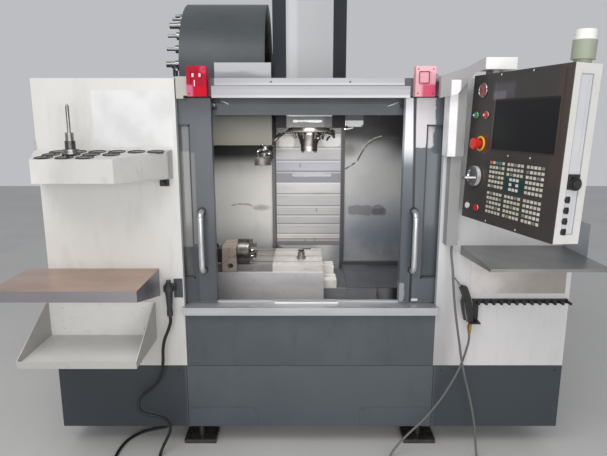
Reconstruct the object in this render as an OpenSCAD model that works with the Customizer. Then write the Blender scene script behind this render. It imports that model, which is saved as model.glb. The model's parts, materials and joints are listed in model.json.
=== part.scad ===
// A compact vertical machining centre: castings, three driven axes, a side-mounted tool
// changer, a two-door sheet-metal enclosure and an operator's pendant.
// All sizes are in millimetres. X runs to the right, Y runs to the back, Z runs up.
// The middle of the four floor anchors is the origin, with the floor at z = 0.

/* [Enclosure] */
// width over the side panels
enclosure_w = 2300; // [2290:5:2350]
// depth from the front skin to the rear skin
enclosure_d = 2100; // [2090:5:2140]
// height of the panels' upper edge above the floor
enclosure_top = 1675; // [1665:1:1690]
// gap under the lower skirt
skirt_bottom = 104; // [80:1:108]
// joint between the dark skirt and the painted panels
panel_bottom = 410; // [405:1:440]
// thickness of the painted sheet
sheet = 3; // [2:0.5:4]
// depth of the fold round each front panel
panel_fold = 30; // [20:1:32]
// width of the doorway between the two painted panels
doorway_w = 1120; // [1110:2:1130]
// half width of the washable inner room
liner_half_w = 1060; // [1030:5:1080]

/* [Sill and header] */
// top of the stainless door sill
sill_top = 695; // [690:1:697]
// height of the sill's front face
sill_h = 35; // [30:1:40]
// how far the sill stands in front of the skin
sill_proud = 28; // [15:1:35]
// underside of the header
header_bottom = 1600; // [1599:1:1605]
// height of the dark lintel behind the doors
lintel_h = 72; // [50:1:90]
// distance of each door interlock from the doorway's edge
interlock_inset = 60; // [50:1:70]
// height of the lower bright strip
trim_low_h = 48; // [40:1:50]
// thickness of the bright strips
trim_t = 10; // [6:1:14]
// side of the red door interlock box
interlock_w = 80; // [60:1:84]
// height of the red door interlock box
interlock_h = 118; // [90:1:125]

/* [Doors] */
// width of one door leaf
door_w = 600; // [590:1:620]
// thickness of a door leaf
door_t = 46; // [40:1:48]
// distance of the left leaf's leading edge from the middle as it stands open
door_rest_left = 420; // [400:1:440]
// distance of the right leaf's leading edge from the middle as it stands open
door_rest_right = 400; // [395:1:440]
// width of the upright at the leading edge
stile_w = 92; // [70:1:110]
// height of the rails above and below the window
door_rail_h = 110; // [80:1:150]
// thickness of the window
window_t = 10; // [6:1:14]
// middle of the handle above the floor
handle_z = 984; // [960:1:1020]
// length of the handle between its feet
handle_l = 290; // [240:2:320]
// diameter of the handle's bar
handle_dia = 25; // [18:1:28]
// how far the handle stands off the door
handle_reach = 62; // [50:1:70]

/* [Feet and castings] */
// half the distance between the feet across the machine
foot_x = 520; // [480:5:530]
// half the distance between the feet along the machine
foot_y = 975; // [940:5:980]
// distance from the jack screw to its anchor hole
anchor_step = 55; // [50:1:60]
// diameter of the anchor holes
anchor_dia = 18; // [14:1:22]
// diameter of the jack screws
jack_dia = 30; // [24:1:36]
// underside of the base casting
base_bottom = 110; // [108:1:115]
// half width of the base casting
base_half_w = 570; // [560:5:575]
// top of the bed's side walls
bed_top = 400; // [390:1:405]
// top of the machined way pads
way_top = 455; // [450:1:458]
// half width of the column
column_half_w = 200; // [190:1:203]
// face of the column that carries the rails
column_front_y = 60; // [58:1:66]
// depth of the column
column_d = 500; // [440:5:520]
// top of the column
column_top = 2120; // [2110:1:2140]

/* [Table and saddle] */
// travel of the table to the right
x_travel = 762; // [600:1:762]
// length of the table
table_l = 914; // [850:1:914]
// depth of the table
table_w = 368; // [340:1:368]
// height of the table's top above the floor
table_top = 735; // [734:1:740]
// thickness of the table
table_t = 80; // [76:1:82]
// how far the saddle now stands behind the middle of its travel
saddle_rest = 124; // [100:1:140]
// width of the saddle
saddle_w = 300; // [280:2:340]
// depth of the saddle
saddle_d = 400; // [380:2:400]
// width of the T-slots
slot_w = 16; // [12:1:18]
// distance between the T-slots
slot_pitch = 125; // [100:1:125]
// width of a guide rail
rail_w = 25; // [20:1:30]
// diameter of the ball screws
screw_dia = 32; // [25:1:34]
// clearance round parts that slide or turn
run_gap = 0.5; // [0.35:0.05:0.8]
// distance of the splash apron in front of the table
apron_reach = 110; // [80:1:115]
// height of the splash apron
apron_h = 150; // [120:1:155]

/* [Work held on the table] */
// height of the dividing unit's centre above the table
rotary_centre_h = 71; // [70:1:80]
// diameter of the three-jaw chuck
chuck_dia = 136; // [110:1:138]
// distance of the chuck's face from the machine's middle plane
chuck_face_x = -325; // [-340:1:-320]
// diameter of the tool setting probe
probe_dia = 52; // [40:1:60]

/* [Head and spindle] */
// distance of the spindle's axis in front of the machine's middle
spindle_y = -440; // [-445:1:-436]
// height of the spindle nose with the head up
nose_z = 1345; // [1342:1:1350]
// diameter of the spindle's nose
nose_dia = 88; // [80:1:96]
// large diameter of the 40 taper
taper_dia = 44.45; // [40:0.05:46]
// diameter of the coolant ring
ring_dia = 220; // [180:2:230]
// half width of the head's hood
hood_half_w = 185; // [175:1:187]
// half width of the hood's light front panel
hood_front_half_w = 115; // [90:1:130]
// top of the hood with the head up
hood_top = 2200; // [2150:5:2300]
// underside of the head with the head up
head_bottom = 1490; // [1485:1:1495]
// half width of the way cover
way_cover_half_w = 197; // [190:1:198]
// lower end of the way cover
way_cover_bottom = 737; // [737:1:745]
// number of plates in the way cover
way_plates = 12; // [8:1:14]

/* [Tool changer] */
// number of tool pockets
pockets = 26; // [12:1:28]
// radius of the circle through the pockets
pocket_circle_r = 330; // [300:1:332]
// height of the carousel's axis
carousel_z = 1750; // [1745:1:1760]
// distance of the carousel's axis behind the middle
carousel_y = -100; // [-110:1:-95]
// radius of the drum cover
drum_r = 390; // [385:1:395]
// left end of the drum cover
drum_x0 = -665; // [-680:1:-655]
// right end of the drum cover
drum_x1 = -228; // [-235:1:-226]
// distance of the exchange arm's shaft from the spindle's axis
arm_reach = 235; // [233:1:238]
// underside of the exchange arm in its home position
arm_z = 1290; // [1270:1:1292]

/* [Left-hand stations] */
// front edge of the tool tray ahead of the panel
tray_reach = 220; // [190:1:240]
// underside of the tool tray
tray_bottom = 1267; // [1250:1:1280]
// height of the tray's front face
tray_face_h = 93; // [80:1:105]
// slope of the tray's top toward the operator
tray_tilt = 6.5; // [0:0.5:9]
// diameter of the tray's tool holes
tray_hole_dia = 66; // [50:1:68]
// distance between the tray's tool holes
tray_pitch = 80; // [76:1:82]
// diameter of a tool holder's flange
holder_flange_dia = 63.5; // [50:0.5:64]
// top of the stainless side shelf
shelf_top = 868; // [850:1:880]
// depth of the side shelf
shelf_reach = 320; // [280:1:330]
// left end of the side shelf
shelf_x0 = -1235; // [-1240:1:-1200]
// right end of the side shelf
shelf_x1 = -665; // [-680:1:-660]
// left side of the parts bin
bin_x0 = -1165; // [-1170:1:-1100]
// right side of the parts bin
bin_x1 = -690; // [-700:1:-685]
// underside of the parts bin
bin_bottom = 541; // [535:1:550]
// top of the bin's back
bin_back_top = 713; // [690:1:720]
// height of the bin's front lip
bin_lip_h = 30; // [20:1:40]

/* [Pendant] */
// width of the operator's panel
pendant_w = 540; // [530:1:545]
// height of the operator's panel
pendant_h = 560; // [550:1:565]
// depth of the pendant's housing
pendant_t = 100; // [90:1:105]
// middle of the operator's panel, across
pendant_x = 705; // [700:1:712]
// middle of the operator's panel, ahead of the skin
pendant_ahead = 335; // [333:1:345]
// middle of the operator's panel above the floor
pendant_z = 1398; // [1396:1:1405]
// angle between the operator's panel and the machine's front
pendant_yaw = 75.6; // [72:0.1:80]
// lean of the operator's panel
pendant_lean = 2.3; // [0:0.1:3]
// diameter of the push buttons
button_dia = 22; // [16:1:24]
// diameter of the emergency stop's mushroom
stop_dia = 42; // [32:1:44]
// diameter of the hand wheel
wheel_dia = 78; // [60:1:80]
// side of a key
key_size = 12.5; // [10:0.5:15]
// distance between keys
key_pitch = 19; // [17:0.5:19.5]

/* [Right-hand stations] */
// top of the work tray
work_tray_top = 972; // [965:1:975]
// left end of the work tray
work_tray_x0 = 655; // [650:1:660]
// right end of the work tray
work_tray_x1 = 1100; // [1050:1:1110]
// depth of the work tray
work_tray_reach = 375; // [330:1:380]
// number of fingers on the tool rail
rail_fingers = 13; // [8:1:14]
// diameter of the coolant hose on the left
wash_hose_dia = 14; // [12:1:16]
// diameter of the air hose on the right
air_hose_dia = 10; // [8:1:12]

/* [View] */
// which sub-part to draw

/* [Hidden] */
$fn = 64;
e = 1;
front_y = -enclosure_d / 2;
rear_y = enclosure_d / 2;
door_x = doorway_w / 2;
interlock_x = door_x - interlock_inset - interlock_w;
trim_w = 2 * (interlock_x - 12.5);
side_x = enclosure_w / 2;
door_y0 = front_y + panel_fold + 6;
door_y1 = door_y0 + door_t;
liner_y = door_y1 + 20;
wall_y = -30;
table_x0 = -x_travel / 2 - table_l / 2;
table_x1 = table_x0 + table_l;
saddle_y = spindle_y + saddle_rest;
table_y0 = saddle_y - table_w / 2;
table_y1 = saddle_y + table_w / 2;
table_under = table_top - table_t;
saddle_bottom = 500;
saddle_top = table_under - 5;
x_screw_z = table_under - 22.5;
y_screw_z = way_top + 23;
z_screw_y = column_front_y - 30;
y_rail_x = 105;
z_rail_x = 120;
x_rail_y = 120;
rail_h = 22;
hood_front = spindle_y - 140;
rotary_z = table_top + rotary_centre_h;
rotary_y = table_y0 + 20;
arm_x = -arm_reach;
pendant_y = front_y - pendant_ahead;
hinge_x = pendant_x - pendant_w / 2 * cos(pendant_yaw) + pendant_t * sin(pendant_yaw);
hinge_y = pendant_y + pendant_w / 2 * sin(pendant_yaw) + pendant_t * cos(pendant_yaw);
stainless = [0.72, 0.73, 0.74];
white_paint = [0.86, 0.86, 0.84];
dark_paint = [0.27, 0.3, 0.33];
cast_paint = [0.8, 0.8, 0.76];
ground_steel = [0.62, 0.62, 0.62];
black_part = [0.08, 0.08, 0.09];

// Helpers

// A box between two corners, each given as [low, high] along one axis.
module block(x, y, z) {
  translate([x[0], y[0], z[0]])
    cube([x[1] - x[0], y[1] - y[0], z[1] - z[0]]);
}

// A round bar along X.
module bar_x(dia, x, y, z) {
  translate([x[0], y, z])
    rotate([0, 90, 0])
      cylinder(h = x[1] - x[0], d = dia);
}

// A round bar along Y.
module bar_y(dia, x, y, z) {
  translate([x, y[1], z])
    rotate([90, 0, 0])
      cylinder(h = y[1] - y[0], d = dia);
}

// A round bar along Z.
module bar_z(dia, x, y, z) {
  translate([x, y, z[0]])
    cylinder(h = z[1] - z[0], d = dia);
}

// The same thing on both sides of the machine's middle plane.
module both_sides() {
  children();
  mirror([1, 0, 0])
    children();
}

// A flat outline in X and Z, made solid between two places along Y.
module plate_xz(points, y) {
  translate([0, y[1], 0])
    rotate([90, 0, 0])
      linear_extrude(height = y[1] - y[0])
        polygon(points);
}

// A flat outline in Y and Z, made solid between two places along X.
module plate_yz(points, x) {
  translate([x[0], 0, 0])
    rotate([90, 0, 90])
      linear_extrude(height = x[1] - x[0])
        polygon(points);
}

// A sheet-metal tray: a box with one side left out. The open side is named by a vector.
module folded_box(x, y, z, open, t = sheet) {
  difference() {
    block(x, y, z);
    block([x[0] + (open[0] < 0 ? -e : t), x[1] - (open[0] > 0 ? -e : t)],
      [y[0] + (open[1] < 0 ? -e : t), y[1] - (open[1] > 0 ? -e : t)],
      [z[0] + (open[2] < 0 ? -e : t), z[1] - (open[2] > 0 ? -e : t)]);
  }
}

// Places the children in the pendant's own axes: middle of the face, X right, Z up, Y into it.
module on_pendant() {
  translate([pendant_x, pendant_y, pendant_z])
    rotate([0, 0, -pendant_yaw])
      rotate([-pendant_lean, 0, 0])
        children();
}

// Places the children at a spot of the operator's panel, given as fractions of its size.
module at_face(u, v) {
  translate([(u - 0.5) * pendant_w, 0, (v - 0.5) * pendant_h])
    children();
}

// A round thing that stands on the panel's face: from y0 (negative, in front) to y1.
module face_round(dia, y0, y1) {
  translate([0, y1, 0])
    rotate([90, 0, 0])
      cylinder(h = y1 - y0, d = dia);
}

// Castings and feet

bed_half_w = 190;
bed_y0 = -900;
bearing_t = 30;
bearing_half_w = 45;
y_screw_y0 = bed_y0 + 6;
y_screw_y1 = wall_y + 4;

// Bed casting: cored from below, with raised way pads, a column seat and screw pedestals.
module base_casting() {
  rib = 40;
  core_pitch = 225;
  foot_bore_top = 220;
  color(cast_paint)
    difference() {
      union() {
        block([-base_half_w, base_half_w], [front_y + 40, rear_y - 40],
          [base_bottom, bed_top]);
        block([-bed_half_w, bed_half_w], [bed_y0, -28], [bed_top, way_top]);
        block([-column_half_w - 60, column_half_w + 60],
          [column_front_y - 40, column_front_y + column_d + 40], [bed_top, way_top]);
        // pedestals for the bearings of the Y screw
        for (y = [bed_y0 + 10, -60])
          block([-bearing_half_w, bearing_half_w], [y, y + bearing_t],
            [way_top, saddle_bottom - 3]);
      }
      // cores between the ribs
      for (y = [front_y + 150 : core_pitch : rear_y - core_pitch])
        both_sides()
          block([rib / 2, base_half_w - 110], [y, y + core_pitch - rib],
            [base_bottom - e, bed_top - rib]);
      // tapped holes for the jack screws
      for (x = [-foot_x, foot_x])
        for (y = [-foot_y, foot_y])
          bar_z(jack_dia + 1, x, y, [base_bottom - e, foot_bore_top]);
      bar_y(screw_dia + 1, 0, [bed_y0, 0], y_screw_z);
    }
}

// Column casting: a hollow box with a window in its back and pedestals for the Z screw.
module column_casting() {
  wall = 45;
  z_low = 760;
  z_high = column_top - 40;
  color(cast_paint)
    difference() {
      union() {
        block([-column_half_w, column_half_w],
          [column_front_y, column_front_y + column_d], [way_top, column_top]);
        for (z = [z_low, z_high])
          block([-bearing_half_w, bearing_half_w], [4, column_front_y + e],
            [z, z + bearing_t]);
      }
      block([-column_half_w + wall, column_half_w - wall],
        [column_front_y + wall, column_front_y + column_d - wall],
        [way_top + wall, column_top - wall]);
      for (z = [700, 1400])
        block([-column_half_w + 90, column_half_w - 90],
          [column_front_y + column_d - wall - e, column_front_y + column_d + e],
          [z, z + 400]);
      bar_z(screw_dia + 1, 0, z_screw_y, [z_low - e, z_high + bearing_t + e]);
    }
}

// Four anchored pads, each with a jack screw and a lock nut that carries the base.
module leveling_feet() {
  pad_half = 75;
  pad_h = 20;
  nut_dia = 58;
  nut_h = 24;
  screw_top = 205;
  color(ground_steel)
    for (x = [-1, 1])
      for (y = [-1, 1])
        difference() {
          union() {
            block([x * foot_x - pad_half, x * foot_x + pad_half],
              [y * foot_y - 55, y * foot_y + 55], [0, pad_h]);
            bar_z(jack_dia, x * foot_x, y * foot_y, [pad_h - e, screw_top]);
            translate([x * foot_x, y * foot_y, base_bottom - nut_h])
              cylinder(h = nut_h, d = nut_dia, $fn = 6);
          }
          bar_z(anchor_dia, x * (foot_x + anchor_step), y * foot_y, [-e, pad_h + e]);
        }
}

// Enclosure

skirt_split_x = door_x + 5;
seam = 2;
joint = 0.4;
fork_y = front_y - 2;
fork_top = 201;

// Lower skirt in three lengths, two fork-pocket covers and the apron under the sill.
module lower_panels() {
  apron_half = skirt_split_x - seam;
  backing_y = [front_y + panel_fold, front_y + panel_fold + sheet];
  color(dark_paint) {
    folded_box([-side_x, -skirt_split_x], [front_y, front_y + panel_fold],
      [skirt_bottom, panel_bottom - seam], [0, 1, 0]);
    folded_box([-apron_half, apron_half], [front_y, front_y + panel_fold],
      [skirt_bottom, panel_bottom - seam], [0, 1, 0]);
    folded_box([skirt_split_x, side_x], [front_y, front_y + panel_fold],
      [skirt_bottom, panel_bottom - seam], [0, 1, 0]);
    for (x = [[-554, -241], [232, 557]])
      block(x, [fork_y, front_y], [skirt_bottom + 6, fork_top]);
    folded_box([-door_x + seam, door_x - seam], [front_y, front_y + panel_fold],
      [panel_bottom, sill_top - sill_h], [0, 1, 0]);
    // strips behind the seams
    both_sides()
      block([skirt_split_x - 14, skirt_split_x + 12], backing_y,
        [skirt_bottom, panel_bottom - seam]);
    block([-side_x + sheet, side_x - sheet], backing_y,
      [panel_bottom - 16, panel_bottom + 12]);
    both_sides()
      block([side_x - 2 * sheet, side_x - sheet], [front_y + panel_fold, rear_y - sheet],
        [panel_bottom - 16, panel_bottom + 12]);
    // outriggers that carry the enclosure on the bed
    both_sides()
      for (y = [-800, 760])
        block([base_half_w, side_x - sheet], [y, y + 40], [220, 280]);
    // side and rear skirts
    both_sides()
      block([side_x - sheet, side_x], [front_y + panel_fold, rear_y - sheet],
        [skirt_bottom, panel_bottom - seam]);
    block([-side_x, side_x], [rear_y - sheet, rear_y],
      [skirt_bottom, panel_bottom - seam]);
  }
}

// Stainless sill with its door track, and the two bright strips of the header.
module front_trims() {
  track_w = 8;
  track_h = 6;
  low_z = header_bottom - 4;
  sill_y1 = door_y1 + 6;
  color(stainless) {
    difference() {
      block([-door_x - 5, door_x + 5], [front_y - sill_proud, front_y],
        [sill_top - sill_h, sill_top]);
      block([-door_x - 5 + sheet, door_x + 5 - sheet],
        [front_y - sill_proud + sheet, front_y + e],
        [sill_top - sill_h - e, sill_top - sheet]);
    }
    block([-door_x + seam, door_x - seam], [front_y, sill_y1], [sill_top - sheet, sill_top]);
    block([-door_x + seam, door_x - seam], [door_y0 + 19, door_y0 + 19 + track_w],
      [sill_top, sill_top + track_h]);
    block([-trim_w / 2, trim_w / 2], [front_y - trim_t, front_y],
      [low_z, low_z + trim_low_h]);
    block([-trim_w / 2 + 12, trim_w / 2 - 24], [front_y - trim_t / 2, front_y],
      [low_z + trim_low_h, enclosure_top]);
  }
}

// Two red door interlocks, one over each door, fixed to the header.
module door_interlocks() {
  z = [header_bottom, header_bottom + interlock_h];
  cap = 16;
  color([0.75, 0.08, 0.1])
    for (x = [-interlock_x - interlock_w, interlock_x])
      difference() {
        block([x, x + interlock_w], [front_y - 46, front_y], z);
        block([x + cap, x + interlock_w - cap], [front_y - 46 - e, front_y - 42],
          [z[0] + 44, z[1] - 22]);
      }
}

// Header over the doors with the dark lintel behind them and the work lamp under it.
module header_beam() {
  lamp_x = [156, 230];
  lamp_h = 50;
  low_z = header_bottom - 4;
  lintel_z = low_z - lintel_h + 4;
  lintel_y = [liner_y, liner_y + 40];
  color(dark_paint) {
    folded_box([-door_x + seam, door_x - seam], [front_y, liner_y],
      [header_bottom + 3, enclosure_top], [0, 0, -1]);
    folded_box([-door_x + seam, door_x - seam], lintel_y,
      [lintel_z, enclosure_top], [0, 1, 0]);
  }
  color(white_paint)
    block(lamp_x, [lintel_y[0] + 4, lintel_y[1] + 20], [lintel_z - lamp_h, lintel_z - joint]);
  door_interlocks();
}

// Left painted panel: a folded sheet with the fixing holes of the bin.
module front_panel_left() {
  board_x = [-905, -572];
  board_z = [1395, 1626];
  color(white_paint) {
    folded_box([-side_x, -door_x], [front_y, front_y + panel_fold],
      [panel_bottom, enclosure_top], [0, 1, 0]);
    block(board_x, [front_y - 1, front_y], board_z);
  }
}

// Right painted panel, a mirror image of the left one without the board.
module front_panel_right() {
  color(white_paint)
    folded_box([door_x, side_x], [front_y, front_y + panel_fold],
      [panel_bottom, enclosure_top], [0, 1, 0]);
}

cabinet_half_w = 750;
cabinet_z0 = 480;
cabinet_z1 = 1790;
cabinet_y0 = column_front_y + column_d + 60;
cabinet_y1 = rear_y - 4;

// Side panels with a folded top edge, and the two rear panels beside the cabinet.
module outer_panels() {
  lip = 40;
  color(white_paint)
    both_sides() {
      block([side_x - sheet, side_x], [front_y + panel_fold, rear_y - sheet],
        [panel_bottom, enclosure_top]);
      block([side_x - lip, side_x - sheet], [front_y + panel_fold, rear_y - sheet],
        [enclosure_top - sheet, enclosure_top]);
      block([cabinet_half_w + 6, side_x], [rear_y - sheet, rear_y],
        [panel_bottom, enclosure_top]);
    }
}

channel_x0 = way_cover_half_w + 0.3;
channel_x1 = column_half_w + 22;
pan_z = 466;
wall_bottom = 600;

// Washable inner room, of separate sheets: walls, way-cover channels, chip pan and splash.
module inner_liners() {
  wall_top = enclosure_top - 35;
  left_wall_top = arm_z + 70;
  pan_x = base_half_w + 12;
  deck_z = 606;
  deck_x0 = saddle_w / 2 + 60;
  deck_x1 = deck_x0 + 160;
  deck_y = [-520, -490];
  step = 10;
  splash_z = pan_z + 70;
  back_y = [wall_y, wall_y + sheet];
  pan_y = [liner_y + sheet + joint, wall_y - joint];
  color(stainless) {
    // right back wall, and the left one, which stops under the tool changer
    block([channel_x1, liner_half_w], back_y, [wall_bottom, wall_top]);
    block([-liner_half_w, -channel_x1], back_y, [wall_bottom, left_wall_top]);
    block([-liner_half_w, drum_x0 - 91], back_y, [left_wall_top + joint, wall_top]);
    both_sides() {
      // side wall, with brackets to the side panel
      block([liner_half_w + joint, liner_half_w + joint + sheet],
        [liner_y, wall_y + sheet], [wall_bottom, wall_top]);
      for (z = [900, 1400])
        block([liner_half_w + 2 * joint + sheet, side_x - sheet], [-560, -520],
          [z, z + 40]);
      // front wall beside the doorway, behind the doors
      block([door_x + 12, liner_half_w], [liner_y, liner_y + sheet],
        [wall_bottom, wall_top]);
      // channel beside the way cover: a web and two flanges
      block([channel_x0, channel_x1], [wall_y - 16, wall_y - 16 + sheet],
        [wall_bottom, enclosure_top - 60]);
      for (x = [channel_x0, channel_x1 - sheet - joint])
        block([x, x + sheet], [wall_y - 16 + sheet + joint, wall_y + sheet + 8],
          [wall_bottom, enclosure_top - 60]);
      // sloping side of the chip pan
      plate_xz([[liner_half_w, wall_bottom - joint],
        [liner_half_w, wall_bottom - joint - sheet], [pan_x, pan_z - sheet],
        [pan_x, pan_z]], pan_y);
      // leg that carries the pan's edge on the bed
      block([base_half_w - 12, pan_x - joint], pan_y, [bed_top, bed_top + sheet]);
      block([pan_x - sheet, pan_x], pan_y, [bed_top + sheet + joint, pan_z - sheet - joint]);
    }
    // front splash under the sill, open in its middle for the Y motor
    block([-liner_half_w, liner_half_w], [liner_y, liner_y + sheet],
      [splash_z, wall_bottom - joint]);
    both_sides()
      block([motor_half + 15, pan_x + 240], [liner_y, liner_y + sheet],
        [pan_z - sheet, splash_z - joint]);
    block([-door_x - 11, door_x + 11], [liner_y, liner_y + sheet],
      [wall_bottom, sill_top - 40]);
    // plate under the way cover
    block([-channel_x0 + joint, channel_x0 - joint], back_y,
      [wall_bottom - 100, way_cover_bottom]);
    // deck of the Y covers on the right, with its step, a strap below and two fronts
    block([deck_x0, deck_x1], [deck_y[0], wall_y - 16 - joint], [deck_z, deck_z + sheet]);
    block([deck_x1 + joint, liner_half_w - 16], [deck_y[1], wall_y - joint],
      [deck_z - step, deck_z - step + sheet]);
    block([deck_x1 + joint - sheet - 10, deck_x1 + joint + 10], [deck_y[1] + 10, -60],
      [deck_z - step - joint - sheet, deck_z - step - joint]);
    block([deck_x0, deck_x1], [deck_y[0], deck_y[0] + sheet],
      [bed_top + sheet + joint, deck_z - joint]);
    block([deck_x1 + joint, pan_x - sheet - joint], [deck_y[1], deck_y[1] + sheet],
      [bed_top + sheet + joint, deck_z - step - joint]);
  }
}

// Electrical cabinet: a hollow box with its mounting plate, drives and wiring duct.
module electrical_cabinet() {
  plate_y = cabinet_y0 + 30;
  fit_y = plate_y + joint;
  drive_h = 320;
  box_y = [cabinet_y0 + sheet + joint, cabinet_y1];
  leaf_x = [-cabinet_half_w - joint - 3, -cabinet_half_w - joint];
  color(white_paint) {
    block([-cabinet_half_w, cabinet_half_w], [cabinet_y0, cabinet_y0 + sheet],
      [cabinet_z0, cabinet_z1]);
    both_sides()
      block([cabinet_half_w - sheet, cabinet_half_w], box_y, [cabinet_z0, cabinet_z1]);
    for (z = [cabinet_z0, cabinet_z1 - sheet])
      block([-cabinet_half_w + sheet + joint, cabinet_half_w - sheet - joint], box_y,
        [z, z + sheet]);
  }
  color(cast_paint)
    both_sides()
      block([110, 170], [column_front_y + column_d, cabinet_y0 - joint], [600, 1700]);
  color(ground_steel) {
    block([-cabinet_half_w + 60, cabinet_half_w - 60], [cabinet_y0 + sheet + joint, plate_y],
      [cabinet_z0 + 60, cabinet_z1 - 60]);
    for (i = [0 : 4])
      block([-600 + i * 150, -600 + i * 150 + 110], [fit_y, plate_y + 190],
        [1320, 1320 + drive_h]);
    block([-600, 600], [fit_y, plate_y + 70], [1160, 1230]);
    block([250, 560], [fit_y, plate_y + 220], [620, 900]);
  }
  // hinge pins, each on a knuckle with a leaf to the cabinet's side
  color(ground_steel)
    for (z = door_hinge_z) {
      bar_z(hinge_pin, door_hinge_x, door_hinge_y, [z - 30, z + 80]);
      bar_z(knuckle, door_hinge_x, door_hinge_y, [z - 32, z - 0.3]);
      block(leaf_x, [cabinet_y1 - 26, door_hinge_y], [z - 32, z - 0.3]);
    }
}

switch_x = 560;
switch_z = 1500;
knuckle = 16;
hinge_pin = 8;
door_hinge_x = -cabinet_half_w - knuckle / 2 + 1;
door_hinge_y = rear_y + knuckle / 2 + 1;
door_hinge_z = [cabinet_z0 + 150, cabinet_z1 - 250];

// Door of the cabinet, folded round its edge, with a bore for the switch shaft.
module cabinet_door() {
  door_x0 = -cabinet_half_w + 2;
  color(white_paint)
    difference() {
      union() {
        folded_box([door_x0, cabinet_half_w], [cabinet_y1 + 1, rear_y + 22],
          [cabinet_z0, cabinet_z1], [0, -1, 0]);
        for (z = door_hinge_z) {
          bar_z(knuckle, door_hinge_x, door_hinge_y, [z, z + 100]);
          block([door_hinge_x, door_x0 + 2], [door_hinge_y + 5, door_hinge_y + 8],
            [z, z + 100]);
        }
      }
      for (z = door_hinge_z)
        bar_z(hinge_pin + 0.6, door_hinge_x, door_hinge_y, [z - e, z + 82]);
      bar_y(20, switch_x, [cabinet_y1, rear_y + 40], switch_z);
    }
}

// Rotary main switch on the cabinet door.
module main_switch() {
  color(black_part) {
    bar_y(19, switch_x, [cabinet_y1 - 30, rear_y + 24], switch_z);
    bar_y(60, switch_x, [rear_y + 23, rear_y + 34], switch_z);
    block([switch_x - 7, switch_x + 7], [rear_y + 33, rear_y + 56],
      [switch_z - 28, switch_z + 28]);
  }
}

// Axes

// Fixed guide rails: two on the bed for Y and two on the column for Z.
module linear_guides() {
  color(ground_steel)
    both_sides() {
      block([y_rail_x - rail_w / 2, y_rail_x + rail_w / 2], [bed_y0 + 20, wall_y - 4],
        [way_top, way_top + rail_h]);
      block([z_rail_x - rail_w / 2, z_rail_x + rail_w / 2],
        [column_front_y - rail_h, column_front_y], [760, column_top - 50]);
    }
}

motor_half = 45;

// Servo motors of the Y and Z screws: flange, body and connector cap.
module axis_motors() {
  color(black_part) {
    block([-motor_half, motor_half], [bed_y0 - 105, bed_y0 - 8],
      [y_screw_z - motor_half, y_screw_z + motor_half]);
    block([-motor_half - 7, motor_half + 7], [bed_y0 - 9, bed_y0],
      [y_screw_z - motor_half, y_screw_z + motor_half]);
    block([-motor_half, motor_half],
      [z_screw_y - motor_half, z_screw_y + motor_half],
      [column_top + 8, column_top + 140]);
    block([-motor_half - 8, motor_half + 8],
      [z_screw_y - motor_half - 8, z_screw_y + motor_half + 40],
      [column_top, column_top + 8]);
  }
}

// A ground ball screw with turned-down ends, along Z from 0 to its length.
module ball_screw(l) {
  journal = screw_dia - 8;
  journal_l = 40;
  cylinder(h = l, d = journal);
  translate([0, 0, journal_l])
    cylinder(h = l - 2 * journal_l, d = screw_dia);
}

// Screw that drives the saddle.
module y_ballscrew() {
  color(ground_steel)
    translate([0, y_screw_y1, y_screw_z])
      rotate([90, 0, 0])
        ball_screw(y_screw_y1 - y_screw_y0);
}

x_end_block = 22;
motor_cover_half = 70;
motor_cover_drop = 42;

// Screw that drives the table, held in the blocks under the table's ends.
module x_ballscrew() {
  color(ground_steel)
    translate([table_x0 + 4, saddle_y, x_screw_z])
      rotate([0, 90, 0])
        ball_screw(table_l - 8);
}

// Screw that drives the head.
module z_ballscrew() {
  color(ground_steel)
    translate([0, z_screw_y, 762])
      ball_screw(column_top - 4 - 762);
}

// Saddle: a block that rides the Y rails, grooved on top for the table's rails and screw.
module saddle() {
  nut_half = 38;
  channel_half = motor_cover_half + 6;
  channel_z = x_screw_z - motor_cover_drop - 4;
  truck_half_w = 34;
  truck_l = 90;
  color(cast_paint)
    difference() {
      union() {
        block([-saddle_w / 2, saddle_w / 2],
          [saddle_y - saddle_d / 2, saddle_y + saddle_d / 2],
          [saddle_bottom, saddle_top]);
        // trucks on the Y rails and the nut of the Y screw
        both_sides()
          for (y = [-1, 1])
            block([y_rail_x - truck_half_w, y_rail_x + truck_half_w],
              [saddle_y + y * 145 - truck_l / 2, saddle_y + y * 145 + truck_l / 2],
              [way_top + 4, saddle_bottom + e]);
        block([-nut_half, nut_half], [saddle_y - nut_half, saddle_y + nut_half],
          [way_top + 3, saddle_bottom + e]);
      }
      // grooves for the Y rails and the bore of the Y nut
      both_sides()
        block([y_rail_x - rail_w / 2 - run_gap, y_rail_x + rail_w / 2 + run_gap],
          [saddle_y - saddle_d, saddle_y + saddle_d],
          [way_top - e, way_top + rail_h + run_gap]);
      bar_y(screw_dia + 2 * run_gap, 0, [saddle_y - nut_half - e, saddle_y + nut_half + e],
        y_screw_z);
      // channel for the X screw and its motor, and grooves for the table's rails
      block([-saddle_w, saddle_w], [saddle_y - channel_half, saddle_y + channel_half],
        [channel_z, saddle_top + e]);
      for (y = [-x_rail_y, x_rail_y])
        block([-saddle_w, saddle_w],
          [saddle_y + y - rail_w / 2 - run_gap, saddle_y + y + rail_w / 2 + run_gap],
          [table_under - rail_h - run_gap, saddle_top + e]);
    }
  // nut of the X screw, bolted down in the channel
  color(ground_steel)
    difference() {
      block([-nut_half, nut_half], [saddle_y - nut_half, saddle_y + nut_half],
        [channel_z + joint, table_under - 2]);
      bar_x(screw_dia + 2 * run_gap, [-nut_half - e, nut_half + e], saddle_y, x_screw_z);
    }
}

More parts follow.
